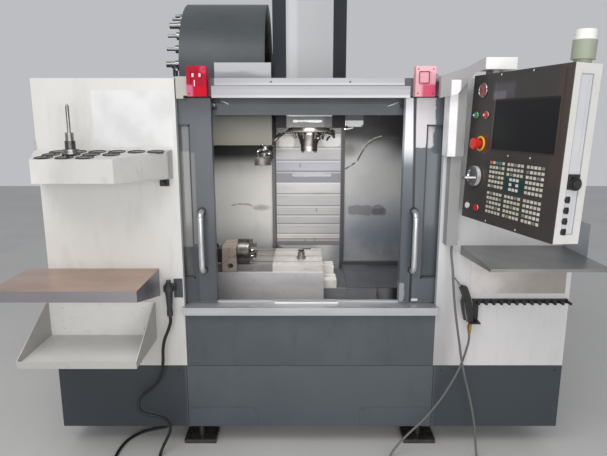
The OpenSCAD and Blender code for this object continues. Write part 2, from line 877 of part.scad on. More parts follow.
// Table with T-slots, its rails and the end blocks that hold the X screw.
module table() {
  neck = 22;
  head_h = 12;
  color(ground_steel)
    difference() {
      union() {
        block([table_x0, table_x1], [table_y0, table_y1], [table_under, table_top]);
        for (y = [-x_rail_y, x_rail_y])
          block([table_x0 + 2, table_x1 - 2],
            [saddle_y + y - rail_w / 2, saddle_y + y + rail_w / 2],
            [table_under - rail_h, table_under + e]);
        for (x = [table_x0, table_x1 - x_end_block])
          block([x, x + x_end_block], [saddle_y - 36, saddle_y + 36],
            [x_screw_z - 22, table_under + e]);
      }
      for (i = [-1 : 1]) {
        block([table_x0 - e, table_x1 + e],
          [saddle_y + i * slot_pitch - slot_w / 2, saddle_y + i * slot_pitch + slot_w / 2],
          [table_top - neck, table_top + e]);
        block([table_x0 - e, table_x1 + e],
          [saddle_y + i * slot_pitch - slot_w, saddle_y + i * slot_pitch + slot_w],
          [table_top - neck - head_h, table_top - neck + e]);
      }
      bar_x(screw_dia + 1, [table_x0 - e, table_x1 + e], saddle_y, x_screw_z);
    }
}

apron_y = table_y0 - apron_reach;

// Splash apron on the table's front, with its shelf and the cover of the X motor.
module table_apron() {
  apron_top = table_top - 14;
  shelf_z = apron_top - 31;
  motor_l = 120;
  color([0.62, 0.62, 0.62]) {
    block([table_x0, table_x1], [apron_y, apron_y + sheet], [apron_top - apron_h, apron_top]);
    block([table_x0, table_x1], [apron_y + sheet, table_y0], [shelf_z, shelf_z + sheet]);
    folded_box([table_x0 - motor_l, table_x0],
      [saddle_y - motor_cover_half, saddle_y + motor_cover_half],
      [x_screw_z - motor_cover_drop, table_under + 60], [0, 0, -1]);
    block([table_x0 - motor_l + 8, table_x0 - 8], [saddle_y - motor_half, saddle_y + motor_half],
      [x_screw_z - motor_cover_drop + 4, table_under + 60 - sheet]);
  }
}

chuck_t = 55;
flange_x = chuck_face_x - chuck_t - 8;

// Dividing unit: gearbox that overhangs the table's edge, its foot, port and motor.
module rotary_unit() {
  box_half = 68;
  overhang = 60;
  box_w = 76;
  drop = 28;
  motor_x0 = flange_x - box_w - 62;
  color([0.72, 0.7, 0.62])
    difference() {
      union() {
        block([flange_x - box_w, flange_x], [table_y0 - overhang, table_y0 + 130],
          [table_top, rotary_z + box_half - 30]);
        block([flange_x - box_w, flange_x], [table_y0 - overhang, table_y0 - 1],
          [table_top - drop, table_top + e]);
        block([flange_x - box_w - 14, flange_x], [table_y0 + 10, table_y0 + 150],
          [table_top, table_top + 16]);
      }
      bar_y(26, flange_x - box_w / 2, [table_y0 - overhang - e, table_y0 - overhang + 14],
        table_top + 8);
      bar_x(41, [flange_x - 40, flange_x + e], rotary_y, rotary_z);
    }
  color(black_part) {
    block([motor_x0, flange_x - box_w], [table_y0 - 30, table_y0 + 50],
      [table_top + 20, rotary_z + 24]);
    bar_z(22, motor_x0 + 24, table_y0 + 10, [rotary_z + 24, rotary_z + 44]);
  }
}

// Three-jaw chuck with its spindle stub and stepped jaws.
module rotary_chuck() {
  bore = 30;
  jaw_l = 42;
  color(ground_steel)
    difference() {
      union() {
        bar_x(chuck_dia, [flange_x + 4, chuck_face_x], rotary_y, rotary_z);
        bar_x(40, [flange_x - 36, flange_x + 6], rotary_y, rotary_z);
        for (a = [90, 210, 330])
          translate([chuck_face_x - e, rotary_y, rotary_z])
            rotate([a, 0, 0]) {
              block([0, jaw_l / 2], [24, chuck_dia / 2 - 2], [-10, 10]);
              block([0, jaw_l], [24, chuck_dia / 2 - 24], [-10, 10]);
            }
      }
      bar_x(bore, [chuck_face_x - chuck_t + 12, chuck_face_x + e], rotary_y, rotary_z);
    }
}

probe_x = -43;
probe_y = saddle_y - 62.5;

// Tool setting probe: a magnetic foot, a body and the touch pad on top.
module tool_probe() {
  color(ground_steel) {
    bar_z(probe_dia, probe_x, probe_y, [table_top, table_top + 14]);
    bar_z(probe_dia - 12, probe_x, probe_y, [table_top + 13, table_top + 40]);
    bar_z(20, probe_x, probe_y, [table_top + 39, table_top + 48]);
    bar_z(32, probe_x, probe_y, [table_top + 47, table_top + 56]);
  }
}

// Head and spindle

head_back = 8;
head_half_w = 138;
head_top = 1880;
motor_seat = head_top - 20;
cartridge_dia = 170;

// Head casting: box with the spindle's bore, four trucks and the nut of the Z screw.
module head_casting() {
  truck_half_w = 34;
  truck_l = 90;
  nut_half = 38;
  nut_z = [head_top - 240, head_top - 164];
  color(cast_paint)
    difference() {
      union() {
        block([-head_half_w, head_half_w], [spindle_y - 110, head_back],
          [head_bottom + 8, head_top]);
        both_sides()
          for (z = [head_bottom + 70, head_top - 60])
            block([z_rail_x - truck_half_w, z_rail_x + truck_half_w],
              [head_back - e, column_front_y - 4],
              [z - truck_l / 2, z + truck_l / 2]);
        block([-nut_half, nut_half], [head_back - e, column_front_y - 2], nut_z);
        // lamp bracket beside the spindle
        block([head_half_w, head_half_w + 95], [spindle_y - 80, spindle_y],
          [head_bottom + 8, head_bottom + 34]);
      }
      bar_z(cartridge_dia, 0, spindle_y, [head_bottom, motor_seat]);
      bar_z(80, 0, spindle_y, [motor_seat - e, head_top + e]);
      both_sides()
        block([z_rail_x - rail_w / 2 - run_gap, z_rail_x + rail_w / 2 + run_gap],
          [column_front_y - rail_h - run_gap, column_front_y],
          [head_bottom, head_top + e]);
      bar_z(screw_dia + 2 * run_gap, 0, z_screw_y, [nut_z[0] - e, nut_z[1] + e]);
      // hollow rear of the casting
      block([-110, 110], [spindle_y + 120, head_back - 30], [head_bottom + 40, head_top + e]);
    }
}

// Hood over the head: a flat light front, dark chamfered corners and dark sides.
module head_cover() {
  hood_z0 = head_bottom + 8;
  chamfer = 70;
  back = -46;
  outline = [[-hood_front_half_w, hood_front], [hood_front_half_w, hood_front],
    [hood_half_w, hood_front + chamfer], [hood_half_w, back],
    [-hood_half_w, back], [-hood_half_w, hood_front + chamfer]];
  inner = [[-hood_front_half_w + 1, hood_front + 2], [hood_front_half_w - 1, hood_front + 2],
    [hood_half_w - 2, hood_front + chamfer + 1], [hood_half_w - 2, back - 2],
    [-hood_half_w + 2, back - 2], [-hood_half_w + 2, hood_front + chamfer + 1]];
  color(dark_paint)
    difference() {
      translate([0, 0, hood_z0 + 30])
        linear_extrude(height = hood_top - hood_z0 - 30)
          polygon(outline);
      translate([0, 0, hood_z0])
        linear_extrude(height = hood_top - hood_z0 - 2)
          polygon(inner);
      // cut back round the casting's rear
      block([-head_half_w - 1, head_half_w + 1], [back - 3, back + e], [hood_z0, head_top + 2]);
    }
  // brackets to the casting
  color(dark_paint)
    both_sides()
      for (z = [head_top - 320, head_top - 60])
        block([60, 90], [hood_front + e, spindle_y - 110], [z, z + 40]);
  color(white_paint)
    block([-hood_front_half_w + 10, hood_front_half_w - 10],
      [hood_front + 4, spindle_y - 110], [hood_z0, hood_z0 + 30]);
}

// Spindle motor on top of the head, with its finned body and fan cap.
module spindle_motor() {
  z0 = head_top;
  half = 100;
  color(black_part) {
    block([-half - 10, half + 10], [spindle_y - half - 10, spindle_y + half + 10], [z0, z0 + 18]);
    for (i = [-3 : 3])
      block([i * 30 - 4, i * 30 + 4], [spindle_y - half - 8, spindle_y + half + 8],
        [z0 + 18, z0 + 230]);
    bar_z(2 * half - 10, 0, spindle_y, [z0 + 17, z0 + 240]);
    bar_z(2 * half, 0, spindle_y, [z0 + 239, z0 + 290]);
  }
}

ring_z = head_bottom - 38;

// Spindle: cartridge with stepped nose, steep taper, drive keys and shaft to the motor.
module spindle() {
  taper_l = 68;
  taper_end = 25;
  cartridge_top = head_top - 100;
  color(ground_steel)
    difference() {
      union() {
        bar_z(nose_dia, 0, spindle_y, [nose_z, nose_z + 26]);
        translate([0, spindle_y, nose_z + 26])
          cylinder(h = 60, d1 = nose_dia, d2 = nose_dia + 34);
        bar_z(nose_dia + 34, 0, spindle_y, [nose_z + 85, head_bottom + 10]);
        bar_z(cartridge_dia - 0.6, 0, spindle_y, [head_bottom + 9, cartridge_top]);
        bar_z(60, 0, spindle_y, [cartridge_top - 1, head_top - 4]);
        for (x = [-1, 1])
          block([x * 33 - 8, x * 33 + 8], [spindle_y - 8, spindle_y + 8],
            [nose_z - 8, nose_z + e]);
      }
      translate([0, spindle_y, nose_z - e])
        cylinder(h = taper_l + e, d1 = taper_dia, d2 = taper_end);
      bar_z(17, 0, spindle_y, [nose_z + taper_l - e, nose_z + 160]);
    }
}

// Coolant ring round the nose with eight aimed nozzles and its mounting plate.
module coolant_ring() {
  bore = nose_dia + 38;
  nozzles = 8;
  color(ground_steel)
    difference() {
      union() {
        bar_z(ring_dia, 0, spindle_y, [ring_z, ring_z + 14]);
        bar_z(ring_dia - 24, 0, spindle_y, [ring_z + 13, head_bottom + 8]);
        for (i = [0 : nozzles - 1])
          translate([0, spindle_y, ring_z])
            rotate([0, 0, (i + 0.5) * 360 / nozzles])
              translate([ring_dia / 2 - 16, 0, 2])
                rotate([0, 205, 0])
                  cylinder(h = 46, d1 = 16, d2 = 9);
      }
      bar_z(bore, 0, spindle_y, [ring_z - 60, head_bottom + 9]);
    }
}

// Telescopic way cover under the head: plates that overlap like roof tiles.
module z_way_cover() {
  plate_h = (head_bottom - way_cover_bottom) / way_plates;
  thick = 2;
  overlap = 6;
  lean = 0.5;
  color(stainless)
    for (i = [0 : way_plates - 1])
      plate_yz([[wall_y - 6 - i * lean, way_cover_bottom + i * plate_h],
        [wall_y - 6 - i * lean, way_cover_bottom + (i + 1) * plate_h + overlap],
        [wall_y - 6 - i * lean + thick, way_cover_bottom + (i + 1) * plate_h + overlap],
        [wall_y - 1, way_cover_bottom + i * plate_h + overlap],
        [wall_y - 1, way_cover_bottom + i * plate_h]],
        [-way_cover_half_w, way_cover_half_w]);
}

// Tool changer

shroud_z0 = 1378;
shroud_z1 = 1560;
plate_x0 = drum_x1 - 22;

// Drum cover over the carousel: a shell along X, closed toward the head.
module atc_cover() {
  wall = 3;
  color(dark_paint)
    difference() {
      bar_x(2 * drum_r, [drum_x0, drum_x1], carousel_y, carousel_z);
      bar_x(2 * drum_r - 2 * wall, [drum_x0 - e, drum_x1 - wall], carousel_y, carousel_z);
      block([drum_x0 - e, drum_x1 + e], [carousel_y - drum_r - e, carousel_y + drum_r + e],
        [carousel_z - drum_r - e, shroud_z1]);
      // opening for the frame's pads
      block([drum_x1 - wall - e, drum_x1 + e], [76, 254], [1596, 1904]);
    }
}

// Cream shroud under the carousel with the hole for the arm's shaft, and the strip above it.
module atc_shroud() {
  x0 = drum_x0 - 90;
  x1 = -hood_half_w - 9;
  back_x = -channel_x1 - 4;
  back_y = carousel_y + drum_r - 58;
  step_y = wall_y - 20;
  strip_h = 230;
  outline = [[x0, -500], [x1, -500], [x1, step_y], [back_x, step_y], [back_x, back_y],
    [x0, back_y]];
  inner = [[x0 + sheet, -500 + sheet], [x1 - sheet, -500 + sheet], [x1 - sheet, step_y - sheet],
    [back_x - sheet, step_y - sheet], [back_x - sheet, back_y - sheet],
    [x0 + sheet, back_y - sheet]];
  color([0.83, 0.81, 0.72]) {
    difference() {
      translate([0, 0, shroud_z0])
        linear_extrude(height = shroud_z1 - shroud_z0)
          polygon(outline);
      translate([0, 0, shroud_z0 + sheet])
        linear_extrude(height = shroud_z1 - shroud_z0)
          polygon(inner);
      bar_z(58, arm_x, spindle_y, [shroud_z0 - e, shroud_z0 + sheet + e]);
    }
    block([-480, x1], [-520, -500], [shroud_z1 - 20, shroud_z1 + strip_h]);
  }
}

// Frame bolted to the column: plate, carousel axle and the arm's gearbox.
module atc_frame() {
  axle_dia = 78;
  color(cast_paint)
    difference() {
      union() {
        block([plate_x0, drum_x1 - 3], [-300, 250], [1600, 1900]);
        block([drum_x1 - 4, -column_half_w], [80, 250], [1600, 1900]);
        bar_x(axle_dia, [-590, plate_x0 + e], carousel_y, carousel_z);
        block([-330, plate_x0 + 15], [-390, -299], [1420, 1700]);
        block([-330, arm_x + 36], [-495, -300], [1420, 1550]);
      }
      bar_z(51, arm_x, spindle_y, [1400, 1560]);
    }
}

// Carousel: disc, hub and pockets, each holding a tool.
module tool_carousel() {
  disc_x = [-575, -560];
  pocket_dia = 66;
  color(black_part)
    difference() {
      union() {
        bar_x(2 * pocket_circle_r - 40, disc_x, carousel_y, carousel_z);
        bar_x(150, [disc_x[0], disc_x[1] + 40], carousel_y, carousel_z);
        for (i = [0 : pockets - 1])
          translate([0, carousel_y, carousel_z])
            rotate([i * 360 / pockets, 0, 0])
              translate([0, -carousel_y, -carousel_z]) {
                bar_x(pocket_dia, [disc_x[0] - 65, disc_x[0] + 10],
                  carousel_y, carousel_z + pocket_circle_r);
                bar_x(holder_flange_dia, [disc_x[0] - 84, disc_x[0] - 64],
                  carousel_y, carousel_z + pocket_circle_r);
                bar_x(40, [disc_x[0] - 118, disc_x[0] - 83],
                  carousel_y, carousel_z + pocket_circle_r);
                bar_x(i % 3 == 0 ? 30 : 16, [disc_x[0] - 165, disc_x[0] - 117],
                  carousel_y, carousel_z + pocket_circle_r);
              }
      }
      bar_x(79, [disc_x[0] - e, disc_x[1] + 41], carousel_y, carousel_z);
    }
}

shaft_dia = 50;
arm_h = 35;

// Lifting shaft of the exchange arm, with the collar that carries the arm.
module arm_shaft() {
  color(ground_steel) {
    bar_z(shaft_dia, arm_x, spindle_y, [arm_z + arm_h + 10, 1545]);
    bar_z(64, arm_x, spindle_y, [arm_z + arm_h + 0.3, arm_z + arm_h + 11]);
    bar_z(30, arm_x, spindle_y, [arm_z - 4, arm_z + arm_h + e]);
    bar_z(40, arm_x, spindle_y, [arm_z - 8, arm_z - 0.3]);
  }
}

// Exchange arm: a hub on the shaft's end and a forked gripper at each end.
module swap_arm() {
  arm_half_w = 27;
  fork_dia = 92;
  color(ground_steel)
    difference() {
      union() {
        bar_z(76, arm_x, spindle_y, [arm_z, arm_z + arm_h]);
        block([arm_x - arm_half_w, arm_x + arm_half_w],
          [spindle_y - arm_reach + 36, spindle_y + arm_reach - 36],
          [arm_z, arm_z + arm_h]);
        for (y = [-arm_reach, arm_reach])
          bar_z(fork_dia, arm_x, spindle_y + y, [arm_z, arm_z + arm_h]);
      }
      bar_z(30.6, arm_x, spindle_y, [arm_z - e, arm_z + arm_h + e]);
      // each fork opens to one side, so that it closes on a tool as the arm swings
      for (s = [-1, 1]) {
        bar_z(65, arm_x, spindle_y + s * arm_reach, [arm_z - e, arm_z + arm_h + e]);
        translate([arm_x, spindle_y + s * arm_reach, arm_z - e])
          block([s > 0 ? 0 : -fork_dia, s > 0 ? fork_dia : 0], [-32.5, 32.5],
            [0, arm_h + 2 * e]);
      }
    }
}

// Doors

door_z0 = sill_top + 6.3;
door_z1 = header_bottom - 2;
pane_z0 = door_z0 + door_rail_h;
pane_z1 = door_z1 - door_rail_h;
pane_y0 = door_y0 + 14;

// C-shaped handle whose feet stand on the door's front.
module door_handle(x) {
  bend_r = 30;
  y = door_y0 - handle_reach + handle_dia / 2;
  half = handle_l / 2 - handle_dia / 2;
  bar_z(handle_dia, x, y, [handle_z - half + bend_r, handle_z + half - bend_r]);
  for (s = [-1, 1])
    translate([x, y + bend_r, handle_z + s * (half - bend_r)])
      rotate([0, s > 0 ? 0 : 180, 0])
        rotate([90, 0, -90])
          rotate_extrude(angle = 90)
            translate([bend_r, 0])
              circle(d = handle_dia);
  for (s = [-1, 1])
    bar_y(handle_dia, x, [y + bend_r - e, door_y0 + e], handle_z + s * half);
}

// One door leaf: a frame round the window opening, with its handle. x0 is its leading edge.
module door_frame(x0) {
  outer_stile = 60;
  color(dark_paint)
    difference() {
      block([x0, x0 + door_w], [door_y0, door_y1], [door_z0, door_z1]);
      block([x0 + stile_w, x0 + door_w - outer_stile], [door_y0 - e, door_y1 + e],
        [pane_z0, pane_z1]);
    }
  color(stainless)
    door_handle(x0 + 52);
}

// The window of a door leaf whose leading edge is at x0.
module door_pane(x0) {
  color([0.5, 0.6, 0.62, 0.5])
    block([x0 + stile_w, x0 + door_w - 60], [pane_y0, pane_y0 + window_t],
      [pane_z0, pane_z1]);
}

module door_left() {
  mirror([1, 0, 0])
    door_frame(door_rest_left);
}

module door_right() {
  door_frame(door_rest_right);
}

module window_left() {
  mirror([1, 0, 0])
    door_pane(door_rest_left);
}

module window_right() {
  door_pane(door_rest_right);
}

// Left-hand stations

tray_row_y = front_y - 55;
tray_row_step = 65;
tray_col_x = -side_x + 115;

function tray_top_at(y) = tray_bottom + tray_face_h
  + (y - (front_y - tray_reach)) * tan(tray_tilt);

// Tool tray: bent sheet with a sloping top full of holes, and a catch under its right end.
module tool_tray() {
  x0 = -side_x - 7;
  x1 = -door_x - 21;
  outline = [[x0, front_y], [x0 + 83, front_y - tray_reach], [x1 - 176, front_y - tray_reach],
    [x1 - 9, front_y - 50], [x1, front_y]];
  inner = [[x0 + 3, front_y], [x0 + 85, front_y - tray_reach + 2],
    [x1 - 177, front_y - tray_reach + 2], [x1 - 11, front_y - 51], [x1 - 2, front_y]];
  tall = 160;
  color(white_paint)
    difference() {
      translate([0, 0, tray_bottom])
        linear_extrude(height = tall)
          polygon(outline);
      // above the sloping top
      translate([-side_x - e, front_y - tray_reach, tray_bottom + tray_face_h])
        rotate([tray_tilt, 0, 0])
          translate([0, -50, 0])
            cube([side_x, tray_reach + 100, tall]);
      // inside
      difference() {
        translate([0, 0, tray_bottom - e])
          linear_extrude(height = tall)
            polygon(inner);
        translate([-side_x - e, front_y - tray_reach, tray_bottom + tray_face_h - sheet])
          rotate([tray_tilt, 0, 0])
            translate([0, -50, 0])
              cube([side_x, tray_reach + 100, tall]);
      }
      // three rows of holes, fewer toward the front
      for (row = [0 : 2])
        for (col = [0 : 5 - row - (row > 0 ? 1 : 0)])
          bar_z(tray_hole_dia, tray_col_x + col * tray_pitch,
            tray_row_y - row * tray_row_step, [tray_bottom + 20, tray_bottom + tall]);
    }
  color(stainless) {
    block([-636, -600], [front_y - 18, front_y], [tray_bottom - 34, tray_bottom - 4]);
    bar_y(16, -618, [front_y - 40, front_y - 17], tray_bottom - 20);
  }
}

tray_tool_x = tray_col_x + tray_pitch;
tray_tool_y = tray_row_y - tray_row_step;

// Tool holder standing in the tray: taper in the hole, flange on top, chuck and long drill.
module tray_tool() {
  seat = tray_top_at(tray_tool_y + tray_hole_dia / 2) + 1;
  taper_l = 68;
  color(ground_steel) {
    translate([tray_tool_x, tray_tool_y, seat - taper_l])
      cylinder(h = taper_l, d1 = 25, d2 = taper_dia);
    bar_z(holder_flange_dia + 8, tray_tool_x, tray_tool_y, [seat - 0.5, seat + 6]);
    bar_z(50, tray_tool_x, tray_tool_y, [seat + 5, seat + 11]);
    bar_z(holder_flange_dia, tray_tool_x, tray_tool_y, [seat + 10, seat + 17]);
    bar_z(40, tray_tool_x, tray_tool_y, [seat + 16, seat + 50]);
    bar_z(32, tray_tool_x, tray_tool_y, [seat + 49, seat + 82]);
    bar_z(14, tray_tool_x, tray_tool_y, [seat + 81, seat + 185]);
    translate([tray_tool_x, tray_tool_y, seat + 184])
      cylinder(h = 10, d1 = 14, d2 = 1);
  }
}

// Side shelf: bent stainless sheet with a front flange and a deep cheek at each end.
module side_shelf() {
  flange = 44;
  back_drop = 125;
  y0 = front_y - shelf_reach;
  t = 2;
  cheek = [[front_y, shelf_top - e], [y0, shelf_top - e], [y0, shelf_top - flange],
    [front_y, shelf_top - back_drop]];
  color(stainless) {
    block([shelf_x0, shelf_x1], [y0, front_y], [shelf_top - t, shelf_top]);
    block([shelf_x0, shelf_x1], [y0, y0 + t], [shelf_top - flange, shelf_top]);
    plate_yz(cheek, [shelf_x0, shelf_x0 + t]);
    plate_yz(cheek, [shelf_x1 - t, shelf_x1]);
    block([-side_x, shelf_x1], [front_y - t, front_y], [shelf_top - 60, shelf_top]);
  }
}

// Parts bin: open at the front and top, with sloping cheeks and screws in its back.
module parts_bin() {
  reach = 300;
  t = 2;
  floor_z = bin_bottom + 15;
  y0 = front_y - reach;
  cheek = [[front_y, bin_back_top], [front_y - 30, bin_back_top],
    [y0, bin_bottom + bin_lip_h], [y0, bin_bottom], [front_y, bin_bottom]];
  screw_head = 12;
  color(white_paint) {
    block([bin_x0, bin_x1], [front_y - t, front_y], [bin_bottom, bin_back_top]);
    block([bin_x0, bin_x1], [y0, front_y], [floor_z, floor_z + t]);
    block([bin_x0, bin_x1], [y0, y0 + t], [bin_bottom, bin_bottom + bin_lip_h]);
    plate_yz(cheek, [bin_x0, bin_x0 + t]);
    plate_yz(cheek, [bin_x1 - t, bin_x1]);
    for (x = [bin_x0 + 60, bin_x1 - 60])
      for (z = [bin_back_top - 28, floor_z + 34])
        bar_y(screw_head, x, [front_y - t - 5, front_y - t + e], z);
  }
}

holster_x = [-door_x - 42, -door_x - 4];
holster_z = [736, 822];
wash_x = -door_x - 56;
wash_y = front_y - 40;
wash_top = 812;
wash_l = 122;

// Washdown gun: its holster plate with a ring, the tapered body and the hose fitting.
module washdown_gun() {
  color(dark_paint) {
    block(holster_x, [front_y - 4, front_y], holster_z);
    for (x = [holster_x[0] + 7, holster_x[1] - 7])
      for (z = [holster_z[0] + 8, holster_z[1] - 8])
        bar_y(8, x, [front_y - 7, front_y - 3], z);
    difference() {
      union() {
        block([wash_x - 6, holster_x[0] + 12], [wash_y + 8, front_y - 3],
          [wash_top - 34, wash_top - 10]);
        bar_z(46, wash_x, wash_y, [wash_top - 34, wash_top - 10]);
      }
      bar_z(34.6, wash_x, wash_y, [wash_top - 40, wash_top]);
    }
  }
  color([0.3, 0.3, 0.31]) {
    bar_z(20, wash_x, wash_y, [wash_top - 1, wash_top + 14]);
    bar_z(33.4, wash_x, wash_y, [wash_top - 40, wash_top]);
    translate([wash_x, wash_y, wash_top - wash_l])
      cylinder(h = wash_l - 39, d1 = 22, d2 = 33.4);
    bar_z(26, wash_x, wash_y, [wash_top - wash_l - 26, wash_top - wash_l + e]);
  }
}

// Operator's pendant

hub_half = 60;
hub_z = [pendant_z + pendant_h / 2 + 22, pendant_z + pendant_h / 2 + 66];
post_x = [552, 618];
pin_dia = 40;

// Post on the right front panel and the arm over it that ends in the pendant's pivot hub.
module pendant_boom() {
  foot_z = 985;
  waist_z = 1362;
  arm_top = enclosure_top + 37;
  color([0.7, 0.7, 0.7]) {
    block(post_x, [front_y - 84, front_y], [waist_z, enclosure_top - 13]);
    block([post_x[0] + 22, post_x[1]], [front_y - 60, front_y], [foot_z, waist_z + e]);
    // lower shelf that steadies the work tray's end
    plate_yz([[front_y, foot_z], [front_y - 60, foot_z], [front_y - 60, foot_z + 55],
      [front_y, foot_z + 55]], [post_x[1] - e, post_x[1] + 4]);
    plate_xz([[505, header_bottom - 8], [post_x[0] + 20, header_bottom + 6],
      [post_x[1] + 4, hub_z[0] - 32],
      [post_x[1] + 18, hub_z[0] - 14], [hinge_x - hub_half + e, hub_z[0]],
      [hinge_x - hub_half + e, hub_z[1]], [post_x[1], arm_top], [505, enclosure_top + 1]],
      [front_y - 112, front_y - 84]);
    block([post_x[0], post_x[1]], [front_y - 85, front_y - 60],
      [header_bottom + 10, enclosure_top - 13]);
    difference() {
      block([hinge_x - hub_half, hinge_x + hub_half], [hinge_y - 68, hinge_y + 44], hub_z);
      bar_z(pin_dia + 1, hinge_x, hinge_y, [hub_z[0] - e, hub_z[1] - 12]);
    }
  }
}

side_strip_z = 250;

// Pendant housing: a deep tray with the pivot pin, the port strip and the signal lamp.
module pendant_housing() {
  t = 3;
  half_w = pendant_w / 2;
  half_h = pendant_h / 2;
  lamp_x = half_w - 35;
  lamp_dia = 70;
  color(white_paint)
    on_pendant() {
      difference() {
        block([-half_w, half_w], [4, pendant_t], [-half_h, half_h]);
        block([-half_w + t, half_w - 14], [4 - e, pendant_t - t],
          [-half_h + t, half_h - t]);
        // sunk strip in the right wall
        block([half_w - 6, half_w + e], [28, 74], [-side_strip_z, side_strip_z]);
        for (i = [0 : 3])
          translate([half_w - 15, 51, -side_strip_z + 42 + i * 46])
            bar_x(24, [0, 16], 0, 0);
      }
      for (i = [0 : 3])
        bar_x(24, [half_w - 13, half_w - 2], 51, -side_strip_z + 42 + i * 46);
      // signal lamp: base, lens and cap
      bar_z(lamp_dia - 18, lamp_x, 55, [half_h, half_h + 14]);
      bar_z(lamp_dia, lamp_x, 55, [half_h + 13, half_h + 70]);
      bar_z(lamp_dia - 8, lamp_x, 55, [half_h + 69, half_h + 100]);
    }
  color(ground_steel) {
    bar_z(pin_dia + 30, hinge_x, hinge_y, [hub_z[0] - 40, hub_z[0] - 1]);
    bar_z(pin_dia, hinge_x, hinge_y, [hub_z[0] - 2, hub_z[1] - 14]);
  }
}

screen_u = [0.29, 0.945];
screen_v = [0.5, 0.86];
bezel_t = 3;

// Operator's panel: a plate with the screen, its bezel, the button collars and the screws.
module pendant_face() {
  half_w = pendant_w / 2;
  half_h = pendant_h / 2;
  ring_dia = button_dia + 8;
  color(black_part)
    on_pendant() {
      difference() {
        union() {
          block([-half_w, half_w], [0, 4], [-half_h, half_h]);
          // raised frame round the screen
          block([(screen_u[0] - 0.5) * pendant_w, (screen_u[1] - 0.5) * pendant_w],
            [-bezel_t, e], [(screen_v[0] - 0.5) * pendant_h, half_h - 14]);
          for (spot = button_spots)
            at_face(spot[0], spot[1])
              face_round(ring_dia, -3, e);
          at_face(stop_spot[0], stop_spot[1])
            face_round(60, -3, e);
          at_face(wheel_spot[0], wheel_spot[1])
            face_round(wheel_dia + 8, -3, e);
          // round plate above the buttons, left bare
          at_face(0.127, 0.91)
            face_round(52, -2, e);
          for (spot = [[0.33, 0.985], [0.66, 0.985], [0.495, 0.47], [0.72, 0.47],
              [0.32, 0.017], [0.655, 0.017]])
            at_face(spot[0], spot[1])
              face_round(7, -1.5, e);
        }
        // sunk screen
        block([(screen_u[0] - 0.5) * pendant_w + 6, (screen_u[1] - 0.5) * pendant_w - 8],
          [-bezel_t - e, -bezel_t + 2], [(screen_v[0] - 0.5) * pendant_h + 2, half_h - 97]);
        for (spot = button_spots)
          at_face(spot[0], spot[1])
            face_round(button_dia + 1, -4, 5);
        at_face(stop_spot[0], stop_spot[1])
          face_round(24, -4, 5);
        at_face(wheel_spot[0], wheel_spot[1])
          face_round(24, -4, 5);
      }
    }
}

button_spots = [[0.077, 0.728], [0.204, 0.728], [0.079, 0.09], [0.192, 0.09]];
stop_spot = [0.168, 0.534];
wheel_spot = [0.144, 0.308];

// Keys in three blocks and two banks; the middle block's centre is the arrow pad.
module pendant_keypad() {
  key_t = 1.6;
  block_cols = [5, 5, 5];
  bank_rows = [6, 5];
  key_w = key_size;
  key_h = key_size * 0.8;
  row_pitch = key_pitch * 0.92;
  color([0.85, 0.85, 0.8])
    on_pendant()
      for (b = [0 : 2])
        for (bank = [0 : 1])
          for (c = [0 : block_cols[b] - 1])
            for (r = [0 : bank_rows[bank] - 1])
              translate([(0.305 - 0.5) * pendant_w + b * (5 * key_pitch + 12)
                  + c * key_pitch, -key_t,
                (0.425 - 0.5) * pendant_h - bank * (6 * row_pitch + 10)
                  - r * row_pitch - key_h])
                cube([key_w, key_t, key_h]);
}

// A push button: cap in front of the panel and shank behind it.
module push_button(spot) {
  on_pendant()
    at_face(spot[0], spot[1]) {
      face_round(button_dia, -9, -1);
      face_round(button_dia - 4, -2, 26);
    }
}

module power_on() {
  color([0.2, 0.6, 0.35])
    push_button(button_spots[0]);
}

module power_off() {
  color([0.75, 0.1, 0.1])
    push_button(button_spots[1]);
}

module cycle_start() {
  color([0.9, 0.9, 0.9])
    push_button(button_spots[2]);
}

module feed_hold() {
  color([0.75, 0.1, 0.1])
    push_button(button_spots[3]);
}

// Emergency stop: mushroom head on its shank.
module e_stop() {
  color([0.85, 0.1, 0.08])
    on_pendant()
      at_face(stop_spot[0], stop_spot[1]) {
        face_round(stop_dia, -38, -22);
        face_round(stop_dia - 14, -23, -7);
        face_round(23, -8, 40);
      }
}

// Hand wheel: dial with a rim, a finger knob near its edge and a shaft through the panel.
module jog_wheel() {
  color(stainless)
    on_pendant()
      at_face(wheel_spot[0], wheel_spot[1]) {
        difference() {
          face_round(wheel_dia, -20, -4);
          face_round(wheel_dia - 14, -21, -16);
        }
        face_round(23, -5, 34);
        translate([-wheel_dia / 2 + 17, 0, -10])
          face_round(12, -44, -15);
      }
}

// Right-hand stations

rail_z = [712, 730];
rail_x = [730, 1140];
hook_x = [718, 742];
hook_top = 640;
air_x = 676;
air_y = front_y - 46;
fitting_x = air_x + 25;

